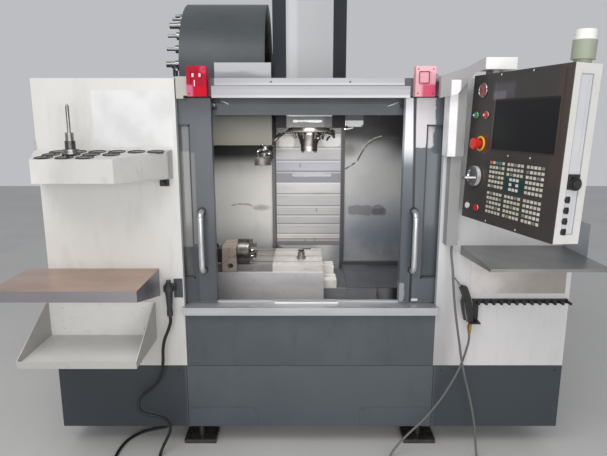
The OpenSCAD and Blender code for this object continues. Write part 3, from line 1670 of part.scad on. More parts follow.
// Work tray: bent sheet with cheeks, its back plate and the fingered tool rail below.
module work_tray() {
  t = 2;
  y0 = front_y - work_tray_reach;
  lip = 12;
  cheek_y = front_y - 200;
  finger_w = 9;
  finger_l = 36;
  finger_pitch = (rail_x[1] - rail_x[0] - finger_w) / (rail_fingers - 1);
  right_cheek = [[front_y, work_tray_top - e], [cheek_y, work_tray_top - e],
    [cheek_y, work_tray_top + 132], [front_y, work_tray_top + 132]];
  left_cheek = [[front_y, work_tray_top - 40], [y0, work_tray_top - lip],
    [y0, work_tray_top], [front_y, work_tray_top]];
  color(stainless) {
    block([work_tray_x0, work_tray_x1], [y0, front_y], [work_tray_top - t, work_tray_top]);
    block([work_tray_x0, work_tray_x1], [y0, y0 + t], [work_tray_top - lip, work_tray_top]);
    plate_yz(right_cheek, [work_tray_x1 - t, work_tray_x1]);
    plate_yz(left_cheek, [work_tray_x0, work_tray_x0 + t]);
    block([706, 1128], [front_y - t, front_y], [754, work_tray_top]);
  }
  color(dark_paint) {
    block(rail_x, [front_y - 14, front_y], rail_z);
    for (i = [0 : rail_fingers - 1])
      block([rail_x[0] + i * finger_pitch, rail_x[0] + i * finger_pitch + finger_w],
        [front_y - 14 - finger_l, front_y - 13], [rail_z[0] + 4, rail_z[1] - 4]);
    // strap hook for the air gun at the rail's left end
    block(hook_x, [front_y - 24, front_y - 18], [hook_top - 6, rail_z[1]]);
    block(hook_x, [front_y - 19, front_y], [rail_z[1] - 6, rail_z[1]]);
    difference() {
      block([fitting_x - 9, hook_x[1]], [air_y - 20, front_y - 18], [hook_top - 6, hook_top]);
      block([fitting_x - 10, fitting_x + 9], [air_y - 9, air_y + 9],
        [hook_top - 7, hook_top + e]);
    }
  }
}

lever_x = air_x - 2;
lever_z = 753;
lever_pin = 6;

// Air gun: curved body with a nozzle, the lever's pin between two ears, and a brass fitting.
module air_gun() {
  body_t = 24;
  slot_t = 19;
  color(black_part) {
    difference() {
      plate_xz([[air_x - 30, 792], [air_x - 18, 806], [air_x + 2, 800], [air_x + 20, 752],
        [air_x + 32, 690], [air_x + 34, 640], [air_x + 16, 640], [air_x + 6, 690],
        [air_x - 6, 740]], [air_y - body_t / 2, air_y + body_t / 2]);
      block([air_x - 40, air_x + 8], [air_y - slot_t / 2, air_y + slot_t / 2], [738, 768]);
    }
    bar_y(lever_pin, lever_x, [air_y - slot_t / 2 - e, air_y + slot_t / 2 + e], lever_z);
  }
  color([0.75, 0.58, 0.25]) {
    translate([fitting_x, air_y, 604])
      cylinder(h = 20, d = 20, $fn = 6);
    bar_z(15, fitting_x, air_y, [586, 641]);
  }
  color(ground_steel)
    translate([air_x - 20, air_y, 796])
      rotate([0, -38, 0])
        cylinder(h = 56, d = 7);
}

// Lever of the air gun: an eye on the pin and a bent blade along the body.
module air_gun_lever() {
  half_t = 9;
  color([0.15, 0.15, 0.16])
    difference() {
      union() {
        bar_y(15, lever_x, [air_y - half_t, air_y + half_t], lever_z);
        plate_xz([[air_x - 8, 758], [air_x - 3, 746], [air_x - 10, 734],
          [air_x - 3, 690], [air_x + 5, 650], [air_x - 3, 648], [air_x - 13, 690],
          [air_x - 21, 732], [air_x - 14, 756]], [air_y - half_t, air_y + half_t]);
      }
      bar_y(lever_pin + 0.6, lever_x, [air_y - half_t - e, air_y + half_t + e], lever_z);
    }
}

// Hoses

// A hose through hand-placed points: one ring of points at each, carried along without a twist.
module hose(points, dia, sides = 8) {
  n = len(points);
  function unit(v) = v / norm(v);
  function along(i) = unit(points[min(i + 1, n - 1)] - points[max(i - 1, 0)]);
  function carried(i) = i < 0
    ? [0.36, 0.8, 0.48]
    : let (p = carried(i - 1), d = along(i)) unit(p - (p * d) * d);
  ring = [for (i = [0 : n - 1])
    let (s = carried(i), t = cross(along(i), s))
      for (k = [0 : sides - 1])
        points[i] + dia / 2 * (cos(k * 360 / sides) * s + sin(k * 360 / sides) * t)];
  skin = [for (i = [0 : n - 2], k = [0 : sides - 1])
    let (j = (k + 1) % sides)
      [i * sides + k, (i + 1) * sides + k, (i + 1) * sides + j, i * sides + j]];
  first = [for (k = [0 : sides - 1]) k];
  last = [for (k = [sides - 1 : -1 : 0]) (n - 1) * sides + k];
  polyhedron(points = ring, faces = concat([first], skin, [last]), convexity = 10);
}

wash_route = [[-616, -1090, 663.8], [-616, -1090, 634], [-628, -1092, 596], [-645, -1095, 554],
  [-654, -1097, 505], [-656, -1098, 455], [-664, -1099, 405], [-683, -1100, 357],
  [-714, -1102, 322], [-746, -1105, 300], [-768, -1112, 274], [-771, -1123, 245],
  [-752, -1133, 224], [-716, -1136, 212], [-678, -1130, 200], [-649, -1120, 178],
  [-636, -1113, 146], [-640, -1110, 112], [-655, -1111, 78], [-671, -1116, 45],
  [-681, -1130, 19], [-680, -1156, 9], [-672, -1195, 8], [-676, -1240, 8],
  [-705, -1283, 8], [-756, -1306, 8], [-812, -1298, 8], [-856, -1260, 8],
  [-878, -1204, 8], [-884, -1140, 8], [-882, -1072, 8], [-864, -1005, 8],
  [-820, -950, 8], [-762, -920, 8], [-706, -911, 16], [-662, -910, 48],
  [-636, -910, 100], [-608, -910, 150], [-570.3, -910, 150]];

module washdown_hose() {
  color([0.07, 0.07, 0.07])
    hose(wash_route, wash_hose_dia);
}

air_route = [[604, -1090, 984.7], [604, -1090, 944], [611, -1099, 880], [616, -1105, 815],
  [623, -1109, 745], [633, -1112, 672], [646, -1114, 595], [659, -1116, 520],
  [673, -1118, 445], [690, -1120, 375], [708, -1122, 310], [724, -1124, 245],
  [738, -1125, 178], [747, -1127, 112], [752, -1132, 58], [754, -1146, 20],
  [754, -1172, 7], [749, -1212, 6], [729, -1264, 6], [687, -1313, 6],
  [626, -1346, 6], [560, -1356, 6], [494, -1346, 6], [434, -1313, 6],
  [393, -1264, 6], [369, -1206, 6], [362, -1162, 8], [370, -1138, 20],
  [404, -1125, 62], [450, -1118, 110], [498, -1112, 156], [542, -1108, 206],
  [585, -1104, 264], [622, -1101, 326], [655, -1099, 392], [678, -1097, 450],
  [692, -1096, 502], [701, -1096, 548], [701, -1096, 585.8]];

module air_hose() {
  color([0.45, 0.45, 0.43])
    hose(air_route, air_hose_dia);
}

base_casting();
column_casting();
leveling_feet();
lower_panels();
front_trims();
header_beam();
front_panel_left();
front_panel_right();
outer_panels();
inner_liners();
electrical_cabinet();
cabinet_door();
main_switch();
linear_guides();
axis_motors();
y_ballscrew();
x_ballscrew();
z_ballscrew();
saddle();
table();
table_apron();
rotary_unit();
rotary_chuck();
tool_probe();
head_casting();
head_cover();
spindle_motor();
spindle();
coolant_ring();
z_way_cover();
atc_cover();
atc_shroud();
atc_frame();
tool_carousel();
arm_shaft();
swap_arm();
door_left();
door_right();
window_left();
window_right();
tool_tray();
tray_tool();
side_shelf();
parts_bin();
washdown_gun();
washdown_hose();
pendant_boom();
pendant_housing();
pendant_face();
pendant_keypad();
power_on();
power_off();
e_stop();
cycle_start();
feed_hold();
jog_wheel();
work_tray();
air_gun();
air_gun_lever();
air_hose();
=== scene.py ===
"""Looks of the machining centre: camera, hoses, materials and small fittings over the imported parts.

Everything is in metres in the parts' own frame: X right, Y to the back, Z up, floor at zero.
"""
import json
import math
import random

import bmesh
import bpy
from mathutils import Matrix, Vector


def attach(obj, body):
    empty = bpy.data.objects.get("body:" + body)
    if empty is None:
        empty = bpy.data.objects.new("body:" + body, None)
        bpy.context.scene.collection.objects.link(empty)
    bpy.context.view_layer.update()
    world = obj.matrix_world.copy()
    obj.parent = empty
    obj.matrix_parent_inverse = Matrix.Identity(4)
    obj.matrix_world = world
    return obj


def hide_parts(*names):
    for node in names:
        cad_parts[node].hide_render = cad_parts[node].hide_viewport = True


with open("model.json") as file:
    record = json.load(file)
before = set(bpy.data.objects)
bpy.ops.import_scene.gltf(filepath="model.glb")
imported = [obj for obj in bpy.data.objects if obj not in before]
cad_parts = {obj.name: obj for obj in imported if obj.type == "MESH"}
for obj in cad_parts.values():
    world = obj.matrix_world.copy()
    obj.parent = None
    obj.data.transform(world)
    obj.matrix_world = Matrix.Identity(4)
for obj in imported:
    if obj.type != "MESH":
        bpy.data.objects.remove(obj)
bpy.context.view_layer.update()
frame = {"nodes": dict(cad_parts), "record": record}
NODES = frame["nodes"]
BODIES = frame["record"]["behaviour"]["bodies"]
BODY = {node: body for body, nodes in BODIES.items() for node in nodes}
SCENE = bpy.context.scene
X, Y, Z = 0, 1, 2
random.seed(7)


def put(name, data):
    """A new object in the scene."""
    obj = bpy.data.objects.new(name, data)
    SCENE.collection.objects.link(obj)
    return obj


# The pendant's own axes start in the middle of its panel, with Z up along it
PANEL_MIDDLE, PANEL_TURN, PANEL_LEAN = (0.705, -1.385, 1.398), -75.6, -2.3
PENDANT = (Matrix.Translation(PANEL_MIDDLE) @ Matrix.Rotation(math.radians(PANEL_TURN), 4, "Z")
           @ Matrix.Rotation(math.radians(PANEL_LEAN), 4, "X"))
UNPENDANT = PENDANT.inverted()

# Camera
camera = put("camera", bpy.data.cameras.new("camera"))
camera.data.sensor_width = 36.0
camera.data.lens = 31.43
camera.location = (-0.03, -3.295, 1.507)
camera.rotation_euler = (math.radians(78.48), 0, 0)
camera.data.clip_start = 0.05
camera.data.clip_end = 60
SCENE.camera = camera

# Materials
MATERIALS = {}


def lin(colour):
    """Display colour 0..255 to linear."""
    return tuple(((v / 255 + 0.055) / 1.055) ** 2.4 if v > 10 else v / 255 / 12.92 for v in colour)


class Paint:
    """A procedural surface: a base colour with layers of noise, bands and smears over it.

    Each layer goes over those before it, and its method returns the paint, so that calls chain.
    """

    def __init__(self, name, colour, rough=0.5, metal=0.0, spec=0.5, coat=0.0):
        self.mat = bpy.data.materials.new(name)
        self.mat.use_nodes = True
        self.tree = self.mat.node_tree
        self.bsdf = next(n for n in self.tree.nodes if n.type == "BSDF_PRINCIPLED")
        self.rough = rough
        self.out = None
        self.coord = None
        self.colour = (*lin(colour), 1)
        self.mat.diffuse_color = self.colour
        for socket, value in (("Base Color", self.colour), ("Roughness", rough), ("Metallic", metal),
                              ("Specular IOR Level", spec), ("Coat Weight", coat)):
            self.bsdf.inputs[socket].default_value = value
        MATERIALS[name] = self.mat

    def node(self, kind, **values):
        """A new shader node with values for its settings and sockets, an underscore for a space."""
        n = self.tree.nodes.new("ShaderNode" + kind)
        for k, v in values.items():
            if hasattr(n, k):
                setattr(n, k, v)
            else:
                n.inputs[k.replace("_", " ")].default_value = v
        return n

    def link(self, a, b):
        self.tree.links.new(a, b)

    def work_out(self, node, values, out):
        """An output of a node whose inputs, in order, get links or plain values."""
        for socket, v in zip(node.inputs, values):
            if isinstance(v, bpy.types.NodeSocket):
                self.link(v, socket)
            else:
                socket.default_value = v
        return node.outputs[out]

    def math(self, op, *values):
        return self.work_out(self.node("Math", operation=op), values, 0)

    def vector(self, op, *values, out="Vector"):
        return self.work_out(self.node("VectorMath", operation=op), values, out)

    def where(self):
        """The place on the object, made once."""
        if self.coord is None:
            self.coord = self.node("TexCoord").outputs["Object"]
        return self.coord

    def turned(self, matrix):
        """Paints in the axes of a piece that stands at an angle."""
        m = self.node("Mapping", Location=matrix.translation, Rotation=matrix.to_euler())
        self.link(self.where(), m.inputs["Vector"])
        self.coord = m.outputs[0]
        return self

    def axis(self, i):
        return self.work_out(self.node("SeparateXYZ"), (self.where(),), i)

    def step(self, value, lo, hi):
        """0 to 1, smoothly, while the value goes from lo to hi."""
        r = self.node("MapRange", interpolation_type="SMOOTHSTEP", From_Min=lo, From_Max=hi)
        self.link(value, r.inputs["Value"])
        return r.outputs["Result"]

    def texture(self, scale, detail, stretch, place=(0, 0, 0)):
        m = self.node("Mapping", Scale=stretch, Location=place)
        self.link(self.where(), m.inputs["Vector"])
        n = self.node("TexNoise", Scale=scale, Detail=detail)
        self.link(m.outputs[0], n.inputs["Vector"])
        return n.outputs[0]

    def noise(self, scale, lo, hi, seed, stretch=(1, 1, 1)):
        """A noise from 0 to 1, at another place for each seed."""
        return self.step(self.texture(scale, 4, stretch, (seed, seed * 0.7, seed * 1.3)), lo, hi)

    def mix(self, share, amount, colour):
        """Lays a colour over what is there, by a share from 0 to 1 times an amount."""
        n = self.node("Mix", data_type="RGBA")
        below, above, mixed = n.inputs[6], n.inputs[7], n.outputs[2]
        self.link(self.math("MULTIPLY", share, amount), n.inputs["Factor"])
        if self.out is None:
            below.default_value = self.colour
        else:
            self.link(self.out, below)
        above.default_value = (*lin(colour), 1)
        self.out = mixed
        self.link(mixed, self.bsdf.inputs["Base Color"])
        return self

    def blotch(self, colour, amount, scale, stretch=(1, 1, 1), seed=0, lo=0.35, hi=0.7):
        """Clouds of a colour where a noise goes from lo to hi; another seed gives other clouds."""
        return self.mix(self.noise(scale, lo, hi, seed, stretch), amount, colour)

    def band(self, i, a, b, colour, amount):
        """Colour that comes in from place a to place b along axis i."""
        return self.mix(self.step(self.axis(i), a, b), amount, colour)

    def cross(self, first, second, colour, amount):
        """Colour where two bands meet, each given as axis, start and end."""
        shares = [self.step(self.axis(i), a, b) for i, a, b in (first, second)]
        return self.mix(self.math("MULTIPLY", *shares), amount, colour)

    def within(self, i, a, b, soft):
        """1 between places a and b along axis i, 0 outside them."""
        return self.math("MULTIPLY", self.step(self.axis(i), a - soft, a + soft),
                         self.math("SUBTRACT", 1.0, self.step(self.axis(i), b - soft, b + soft)))

    def stripe(self, i, a, b, colour, amount, soft, comes_in=None):
        """Colour between a and b along axis i, which may come in along another axis, as a band does."""
        share = self.within(i, a, b, soft)
        if comes_in:
            other, start, end = comes_in
            share = self.math("MULTIPLY", share, self.step(self.axis(other), start, end))
        return self.mix(share, amount, colour)

    def patch(self, xs, zs, colour, amount, soft, rough=0, seed=0):
        """A rectangle seen from the front, with a ragged edge if rough is above 0."""
        share = self.math("MULTIPLY", self.within(X, *xs, soft), self.within(Z, *zs, soft))
        if rough:
            edge_noise = self.math("MULTIPLY", self.noise(24, 0.2, 0.8, seed), rough)
            share = self.step(self.math("SUBTRACT", share, edge_noise), 0.05, 0.4)
        return self.mix(share, amount, colour)

    def ragged_spot(self, centre, size, colour, amount, rough, seed=0, scale=14):
        """A soft ellipsoid with a ragged edge."""
        off = self.vector("DIVIDE", self.vector("SUBTRACT", self.where(), centre), size)
        ragged = self.math("MULTIPLY", self.noise(scale, 0.2, 0.8, seed), rough)
        far = self.math("ADD", self.vector("LENGTH", off, out="Value"), ragged)
        return self.mix(self.math("SUBTRACT", 1.0, self.step(far, 0.35, 1.0)), amount, colour)

    def drawn_line(self, points, width, colour, amount, seed=None):
        """A thin line through points (x, z) seen from the front, uneven in strength if a seed is given."""
        flat = self.vector("MULTIPLY", self.where(), (1, 0, 1))
        best = None
        for (ax, az), (bx, bz) in zip(points, points[1:]):
            d = Vector((bx - ax, 0, bz - az))
            start = self.vector("SUBTRACT", flat, (ax, 0, az))
            along = self.vector("DOT_PRODUCT", start, d / d.length_squared, out="Value")
            along = self.math("MINIMUM", self.math("MAXIMUM", along, 0.0), 1.0)
            off = self.vector("DISTANCE", start, self.vector("MULTIPLY", along, d), out="Value")
            best = off if best is None else self.math("MINIMUM", best, off)
        line = self.math("SUBTRACT", 1.0, self.step(best, width * 0.35, width))
        if seed is not None:
            line = self.math("MULTIPLY", line, self.noise(30, 0.25, 0.6, seed))
        return self.mix(line, amount, colour)

    def uneven(self, amount, scale=7):
        """Roughness that varies."""
        r = self.node("MapRange", To_Min=max(0.02, self.rough - amount), To_Max=min(1.0, self.rough + amount))
        self.link(self.noise(scale, 0.3, 0.7, 3.1), r.inputs["Value"])
        self.link(r.outputs["Result"], self.bsdf.inputs["Roughness"])
        return self

    def grain(self, strength, scale, stretch=(1, 1, 1)):
        """A fine bump, as of cast iron."""
        b = self.node("Bump", Strength=strength, Distance=0.0004)
        self.link(self.texture(scale, 2, stretch), b.inputs["Height"])
        self.link(b.outputs[0], self.bsdf.inputs["Normal"])
        return self

    def peel(self, strength=0.05):
        """The fine unevenness of sprayed paint."""
        return self.grain(strength, 700)

    def brushed(self, along=0.08):
        """The fine lines of brushed sheet, drawn out along X."""
        return self.grain(0.08, 500, (along, 1, 1))


def plain(name, colour, rough, spec=0.5, amount=0.25, scale=9):
    """A paint of one colour with faint darker clouds and an uneven shine."""
    dark = tuple(v * 0.72 for v in colour)
    paint = Paint(name, colour, rough, spec=spec)
    return paint.blotch(dark, amount, scale, seed=len(name) * 1.7).uneven(0.08)


# Painted sheet: the outer panels, the small white things, the bin
(Paint("white_panel", (216, 215, 211), 0.42, spec=0.4)
 # Painted shade: darker towards the bottom
 .band(Z, 1.25, 0.45, (194, 192, 188), 0.85)
 .blotch((190, 188, 183), 0.35, 2.2, (1, 1, 0.5), 1)
 .stripe(Y, 0.018, 0.022, (84, 84, 82), 0.85, 0.001)
 .blotch((178, 174, 167), 0.22, 26, (1, 1, 0.25), 4, 0.5, 0.75)
 .peel(0.06))

(Paint("white_right", (214, 215, 216), 0.42, spec=0.4)
 # Painted shade: darker towards the bottom, left of x 0.6 to 0.68 only
 .band(Z, 1.15, 0.42, (152, 148, 148), 0.9)
 .band(X, 0.6, 0.68, (214, 212, 213), 0.8)
 .blotch((186, 185, 184), 0.35, 2.2, (1, 1, 0.5), 9)
 .blotch((172, 168, 162), 0.22, 26, (1, 1, 0.25), 2, 0.5, 0.75)
 .peel(0.06))

(Paint("white_small", (204, 203, 200), 0.42, spec=0.4)
 .blotch((180, 178, 174), 0.4, 6, seed=5)
 .blotch((160, 156, 149), 0.25, 40, (1, 1, 0.3), 2, 0.52, 0.75)
 .peel())

(Paint("housing_white", (206, 205, 201), 0.4, spec=0.4)
 .blotch((194, 192, 188), 0.35, 9, seed=5)
 .blotch((150, 146, 138), 0.25, 50, seed=2, lo=0.58, hi=0.8))

(Paint("tray_paint", (196, 195, 192), 0.42, spec=0.4)
 .band(X, -0.96, -1.03, (222, 221, 218), 0.8)
 .blotch((168, 166, 162), 0.3, 6, seed=5)
 .blotch((150, 146, 139), 0.25, 40, (1, 1, 0.3), 2, 0.52, 0.75))

(Paint("cheek", (190, 196, 201), 0.4, 0.2)
 .blotch((168, 175, 182), 0.5, 9, seed=3))

(Paint("bin_paint", (170, 168, 163), 0.45, spec=0.4)
 .blotch((176, 173, 168), 0.4, 8, seed=7)
 .blotch((140, 136, 130), 0.3, 30, seed=2, lo=0.58, hi=0.8))

# A lighter copy of the bin's paint for its upward and inner faces: painted light in the shelf's shade
(Paint("bin_inside_painted_light", (232, 230, 226), 0.45, spec=0.4)
 .blotch((222, 219, 214), 0.4, 8, seed=7)
 .blotch((180, 176, 168), 0.25, 30, seed=2, lo=0.58, hi=0.8))

# Painted sheet: the dark skirt, apron, header and drum
(Paint("skirt", (75, 81, 86), 0.44, spec=0.45)
 # Painted shade: darker towards the floor and past x ±0.57, a little lighter in the middle
 .band(Z, 0.38, 0.12, (66, 73, 80), 0.8)
 .blotch((88, 94, 99), 0.4, 2.4, (1, 1, 1.5), 3)
 .blotch((56, 62, 68), 0.35, 18, (1, 1, 0.4), 8, 0.5, 0.8)
 .cross((X, 0.62, 0.3), (X, -0.35, 0.1), (80, 86, 91), 0.5)
 .band(X, 0.56, 0.58, (52, 58, 64), 0.85)
 .band(X, -0.56, -0.58, (48, 53, 58), 0.9)
 .peel(0.06))

(Paint("apron_paint", (72, 78, 83), 0.42, spec=0.45)
 .blotch((86, 92, 97), 0.4, 4, seed=2)
 .blotch((54, 60, 65), 0.3, 22, (1, 1, 0.4), 6, 0.5, 0.8)
 .peel())

(Paint("dark_paint", (82, 87, 92), 0.4, spec=0.45)
 .patch((-0.42, 0.42), (1.575, 1.6), (38, 40, 44), 0.85, 0.004)
 .blotch((98, 103, 108), 0.4, 4, seed=2)
 .blotch((60, 65, 70), 0.3, 22, (1, 1, 0.4), 6, 0.5, 0.8)
 .peel())

(Paint("drum_paint", (70, 75, 78), 0.42, spec=0.4)
 .blotch((86, 91, 94), 0.5, 3, seed=2)
 .blotch((52, 56, 60), 0.3, 16, seed=6, lo=0.5, hi=0.8)
 .peel())

# The spindle head: hood, casting and lower end
(Paint("hood_dark", (44, 48, 53), 0.42, spec=0.4)
 .blotch((58, 62, 67), 0.4, 5, (1, 1, 0.5), 2))

(Paint("hood_light", (184, 185, 187), 0.4, spec=0.4)
 .band(Z, 2.16, 2.24, (70, 72, 74), 0.8)
 .stripe(X, -0.105, -0.06, (206, 207, 209), 0.7, 0.012)
 .blotch((166, 167, 170), 0.35, 3, (1, 1, 0.4), 3))

(Paint("light_grey", (196, 197, 200), 0.38, spec=0.4)
 .blotch((174, 175, 178), 0.4, 3, (0.6, 1, 3), 3)
 .peel())

(Paint("head_plate", (84, 84, 84), 0.42, spec=0.2)
 # Painted reflection: a white patch with a ragged edge across the plate
 .patch((-0.082, 0.066), (1.494, 1.508), (206, 210, 208), 0.85, 0.004, 1, 2)
 .band(X, 0.066, 0.082, (50, 51, 53), 0.9)
 .blotch((66, 66, 65), 0.4, 14, seed=3))

(Paint("head_edge", (122, 116, 106), 0.38, spec=0.3)
 # Painted shade: the rim darker towards both sides
 .band(X, 0.05, 0.12, (54, 51, 47), 0.9)
 .band(X, -0.05, -0.12, (54, 51, 47), 0.9))

Paint("hood_low", (11, 11, 13), 0.5, spec=0.1)

# Bright strips of header and sill
(Paint("trim_top", (158, 159, 162), 0.34, 0.5)
 .stripe(Z, 1.63, 1.641, (140, 140, 143), 0.5, 0.004)
 .stripe(Z, 1.5975, 1.606, (196, 197, 200), 0.7, 0.003)
 .stripe(Z, 1.6425, 1.6462, (84, 84, 88), 0.9, 0.0008)
 .stripe(Z, 1.6475, 1.655, (186, 186, 189), 0.6, 0.003)
 .blotch((134, 135, 139), 0.5, 3, (0.4, 1, 3), 3)
 .band(X, -0.15, -0.38, (140, 139, 142), 0.5)
 .brushed(0.06))

(Paint("trim", (190, 191, 194), 0.34, 0.55)
 .blotch((158, 159, 163), 0.45, 5, (0.5, 1, 6), 3)
 .blotch((120, 120, 122), 0.3, 30, (0.3, 1, 3), 5, 0.55, 0.8)
 .brushed(0.06))

# Castings and what is painted like them
(Paint("cast", (190, 187, 180), 0.5, spec=0.4)
 .blotch((150, 147, 140), 0.5, 7, seed=1)
 .blotch((104, 100, 92), 0.35, 22, seed=6, lo=0.52, hi=0.78)
 .grain(0.2, 320))

(Paint("saddle_paint", (210, 206, 202), 0.5, spec=0.4)
 .blotch((194, 189, 182), 0.4, 9, seed=1)
 .blotch((120, 112, 98), 0.35, 30, seed=6, lo=0.54, hi=0.78))

(Paint("cream", (77, 75, 70), 0.5, spec=0.35)
 .blotch((68, 65, 59), 0.5, 5, seed=1)
 .ragged_spot((-0.66, -0.5, 1.395), (0.16, 0.2, 0.05), (82, 76, 34), 0.8, 0.5, 2)
 .band(Z, 1.425, 1.38, (70, 66, 50), 0.5))

# Painted shade: the shroud's underside near black
Paint("cream_shaded_underside", (28, 27, 27), 0.6, spec=0.3)

(Paint("strip_light", (150, 151, 154), 0.4, spec=0.4)
 .band(Z, 1.7, 1.75, (214, 215, 218), 0.85)
 .blotch((132, 131, 134), 0.5, 6, (0.4, 1, 2), lo=0.45, hi=0.6))

(Paint("beige", (138, 126, 118), 0.5, spec=0.4)
 .blotch((112, 101, 94), 0.5, 16, seed=1)
 .blotch((70, 64, 54), 0.5, 36, seed=6, lo=0.5, hi=0.72))

(Paint("grey_apron", (190, 187, 188), 0.42, 0.1)
 # Painted shade: darker to the left and along the bottom edge
 .band(X, -0.3, -0.56, (112, 112, 118), 0.9)
 .band(Z, 0.575, 0.545, (70, 74, 78), 0.9)
 .blotch((160, 157, 159), 0.45, 9, (0.4, 1, 1.5), 2)
 .blotch((112, 110, 110), 0.3, 34, seed=7, lo=0.55, hi=0.8))

# Bare sheet
(Paint("shelf_steel", (186, 158, 142), 0.3, 0.7)
 .blotch((146, 122, 110), 0.5, 6, (0.6, 1, 1), 3)
 .blotch((212, 192, 178), 0.35, 3, (0.7, 1.4, 1), 8, 0.45, 0.7)
 .brushed())

(Paint("shelf_front", (146, 143, 147), 0.34, 0.6)
 .blotch((118, 114, 120), 0.5, 6, (0.5, 1, 1), 3)
 .brushed())

(Paint("tray_steel", (142, 141, 139), 0.34, 0.55)
 .blotch((118, 117, 117), 0.5, 7, seed=3)
 .brushed())

(Paint("back_plate", (212, 205, 203), 0.34, 0.45)
 .band(X, 0.76, 1.02, (158, 150, 140), 0.85)
 .ragged_spot((0.93, -1.05, 0.9), (0.07, 0.1, 0.06), (214, 210, 206), 0.8, 0.5)
 .blotch((150, 142, 138), 0.4, 9, seed=3)
 .brushed())

# The back wall, with painted shade that darkens it to the right, and its stain as points (x, z)
STAIN = ((0.213, 1.205), (0.262, 1.232), (0.3, 1.262), (0.322, 1.305), (0.345, 1.345), (0.375, 1.372),
         (0.41, 1.392), (0.45, 1.404), (0.495, 1.404), (0.54, 1.396))
(Paint("liner", (184, 182, 178), 0.42, 0.3)
 # Painted shade: darker to the right
 .band(X, -0.1, 0.2, (154, 155, 156), 0.95)
 # Painted reflection and shade: the walls darker and bluer towards the bottom, most on the right
 .cross((Z, 1.08, 0.78), (X, 0.1, 0.2), (102, 108, 119), 0.95)
 .cross((Z, 0.8, 0.68), (X, 0.1, 0.2), (84, 88, 98), 0.8)
 .cross((Z, 0.92, 0.7), (X, 0.1, 0), (118, 121, 124), 0.6)
 .blotch((206, 204, 199), 0.3, 2.6, (1, 1, 1.3), 3)
 .blotch((150, 148, 147), 0.25, 8, (1, 1, 0.6), 5, 0.5, 0.75)
 # Brownish patch right of the way cover, under the dark of the lintel
 .ragged_spot((0.245, -0.03, 1.325), (0.11, 0.2, 0.075), (108, 103, 94), 0.85, 0.3, 5, 12)
 # Shade under the shroud and the lintel
 .cross((Z, 1.24, 1.305), (X, -0.1, -0.2), (30, 29, 30), 0.95)
 .cross((Z, 1.31, 1.435), (X, 0.1, 0.2), (24, 25, 28), 0.97)
 .cross((X, 0.42, 0.58), (Z, 1.22, 1.38), (34, 35, 37), 0.9)
 .stripe(Z, 0.585, 0.628, (44, 46, 50), 0.85, 0.006, (X, 0.19, 0.21))
 .ragged_spot((0.405, -0.03, 1.428), (0.15, 0.2, 0.062), (58, 56, 55), 0.75, 0.25, 3, 10)
 # Rubbed and stained places, with a painted highlight along the stain
 .drawn_line(((-0.475, 0.985), (-0.44, 0.995), (-0.37, 0.992), (-0.325, 0.965)), 0.0075, (112, 104, 98), 0.8, 1)
 .ragged_spot((-0.29, -0.03, 0.972), (0.085, 0.2, 0.03), (132, 129, 126), 0.75, 0.2, 8)
 .patch((0.25, 0.47), (0.925, 0.985), (92, 90, 95), 0.65, 0.022, 0.5, 2)
 .patch((0.4, 0.485), (0.925, 0.965), (76, 74, 80), 0.6, 0.014, 0.4, 6)
 # Painted highlight along the stain's upper left side
 .drawn_line([(x - 0.007, z + 0.006) for x, z in STAIN[2:8]], 0.0065, (176, 172, 166), 0.8, 4)
 .drawn_line(STAIN[:8], 0.0075, (62, 60, 58), 1, 2)
 .drawn_line(STAIN[7:], 0.009, (88, 86, 84), 0.5, 6)
 .blotch((110, 106, 102), 0.2, 46, (1, 1, 0.35), 9, 0.62, 0.8))

# Side walls, the channels beside the way cover, and the decks
(Paint("liner_side", (112, 112, 114), 0.4, 0.4)
 .blotch((84, 84, 86), 0.5, 5, seed=3))

(Paint("channel", (94, 92, 94), 0.4, 0.4)
 # Painted shade: darker on the right
 .band(X, 0.1, 0.2, (64, 62, 64), 0.9)
 .stripe(X, -0.2035, -0.199, (40, 38, 40), 0.85, 0.002)
 .stripe(X, 0.19, 0.2, (118, 116, 117), 0.8, 0.003)
 .blotch((78, 76, 78), 0.5, 9, (1, 1, 0.3), 3))

(Paint("deck", (84, 86, 90), 0.42, 0.3)
 .blotch((66, 68, 72), 0.5, 9, seed=3)
 .blotch((118, 116, 110), 0.4, 60, seed=5, lo=0.6, hi=0.75))

(Paint("deck_front", (118, 120, 124), 0.42, 0.1)
 .stripe(X, 0.325, 0.44, (128, 125, 129), 0.8, 0.004)
 .band(X, 0.42, 0.48, (28, 29, 38), 0.97))

# Lower edges of the way cover's slats, from the top
SLATS = (1.43, 1.346, 1.2675, 1.2004, 1.1327, 1.0614, 0.9863, 0.9276, 0.8723, 0.8096, 0.7742)
way = Paint("way", (158, 156, 156), 0.34, 0.4)
# Painted light on the top slat: a lighter band and two painted highlights
(way.stripe(Z, 1.34, 1.42, (164, 162, 161), 0.7, 0.02)
 .patch((-0.175, -0.09), (1.345, 1.41), (216, 211, 204), 0.75, 0.024, 0.3, 4)
 .patch((0.09, 0.19), (1.35, 1.415), (206, 203, 200), 0.65, 0.024, 0.3, 7)
 .stripe(Z, 1.415, 1.5, (96, 92, 90), 0.7, 0.02)
 .stripe(Z, SLATS[3], SLATS[2], (148, 149, 158), 0.8, 0.006)
 .stripe(Z, SLATS[4], SLATS[3], (108, 108, 115), 0.9, 0.005)
 .patch((-0.1, 0.14), (1.166, 1.186), (168, 168, 173), 0.75, 0.01, 0.5, 3)
 .stripe(Z, SLATS[5], SLATS[4], (172, 169, 169), 0.7, 0.006)
 .stripe(Z, 0.775, 0.81, (186, 182, 178), 0.6, 0.006)
 .band(Z, 0.775, 0.765, (104, 102, 105), 0.9)
 .blotch((130, 129, 131), 0.35, 6, (0.5, 1, 2.5), 2)
 .blotch((100, 98, 98), 0.3, 22, (0.25, 1, 1.5), 7, 0.55, 0.8))
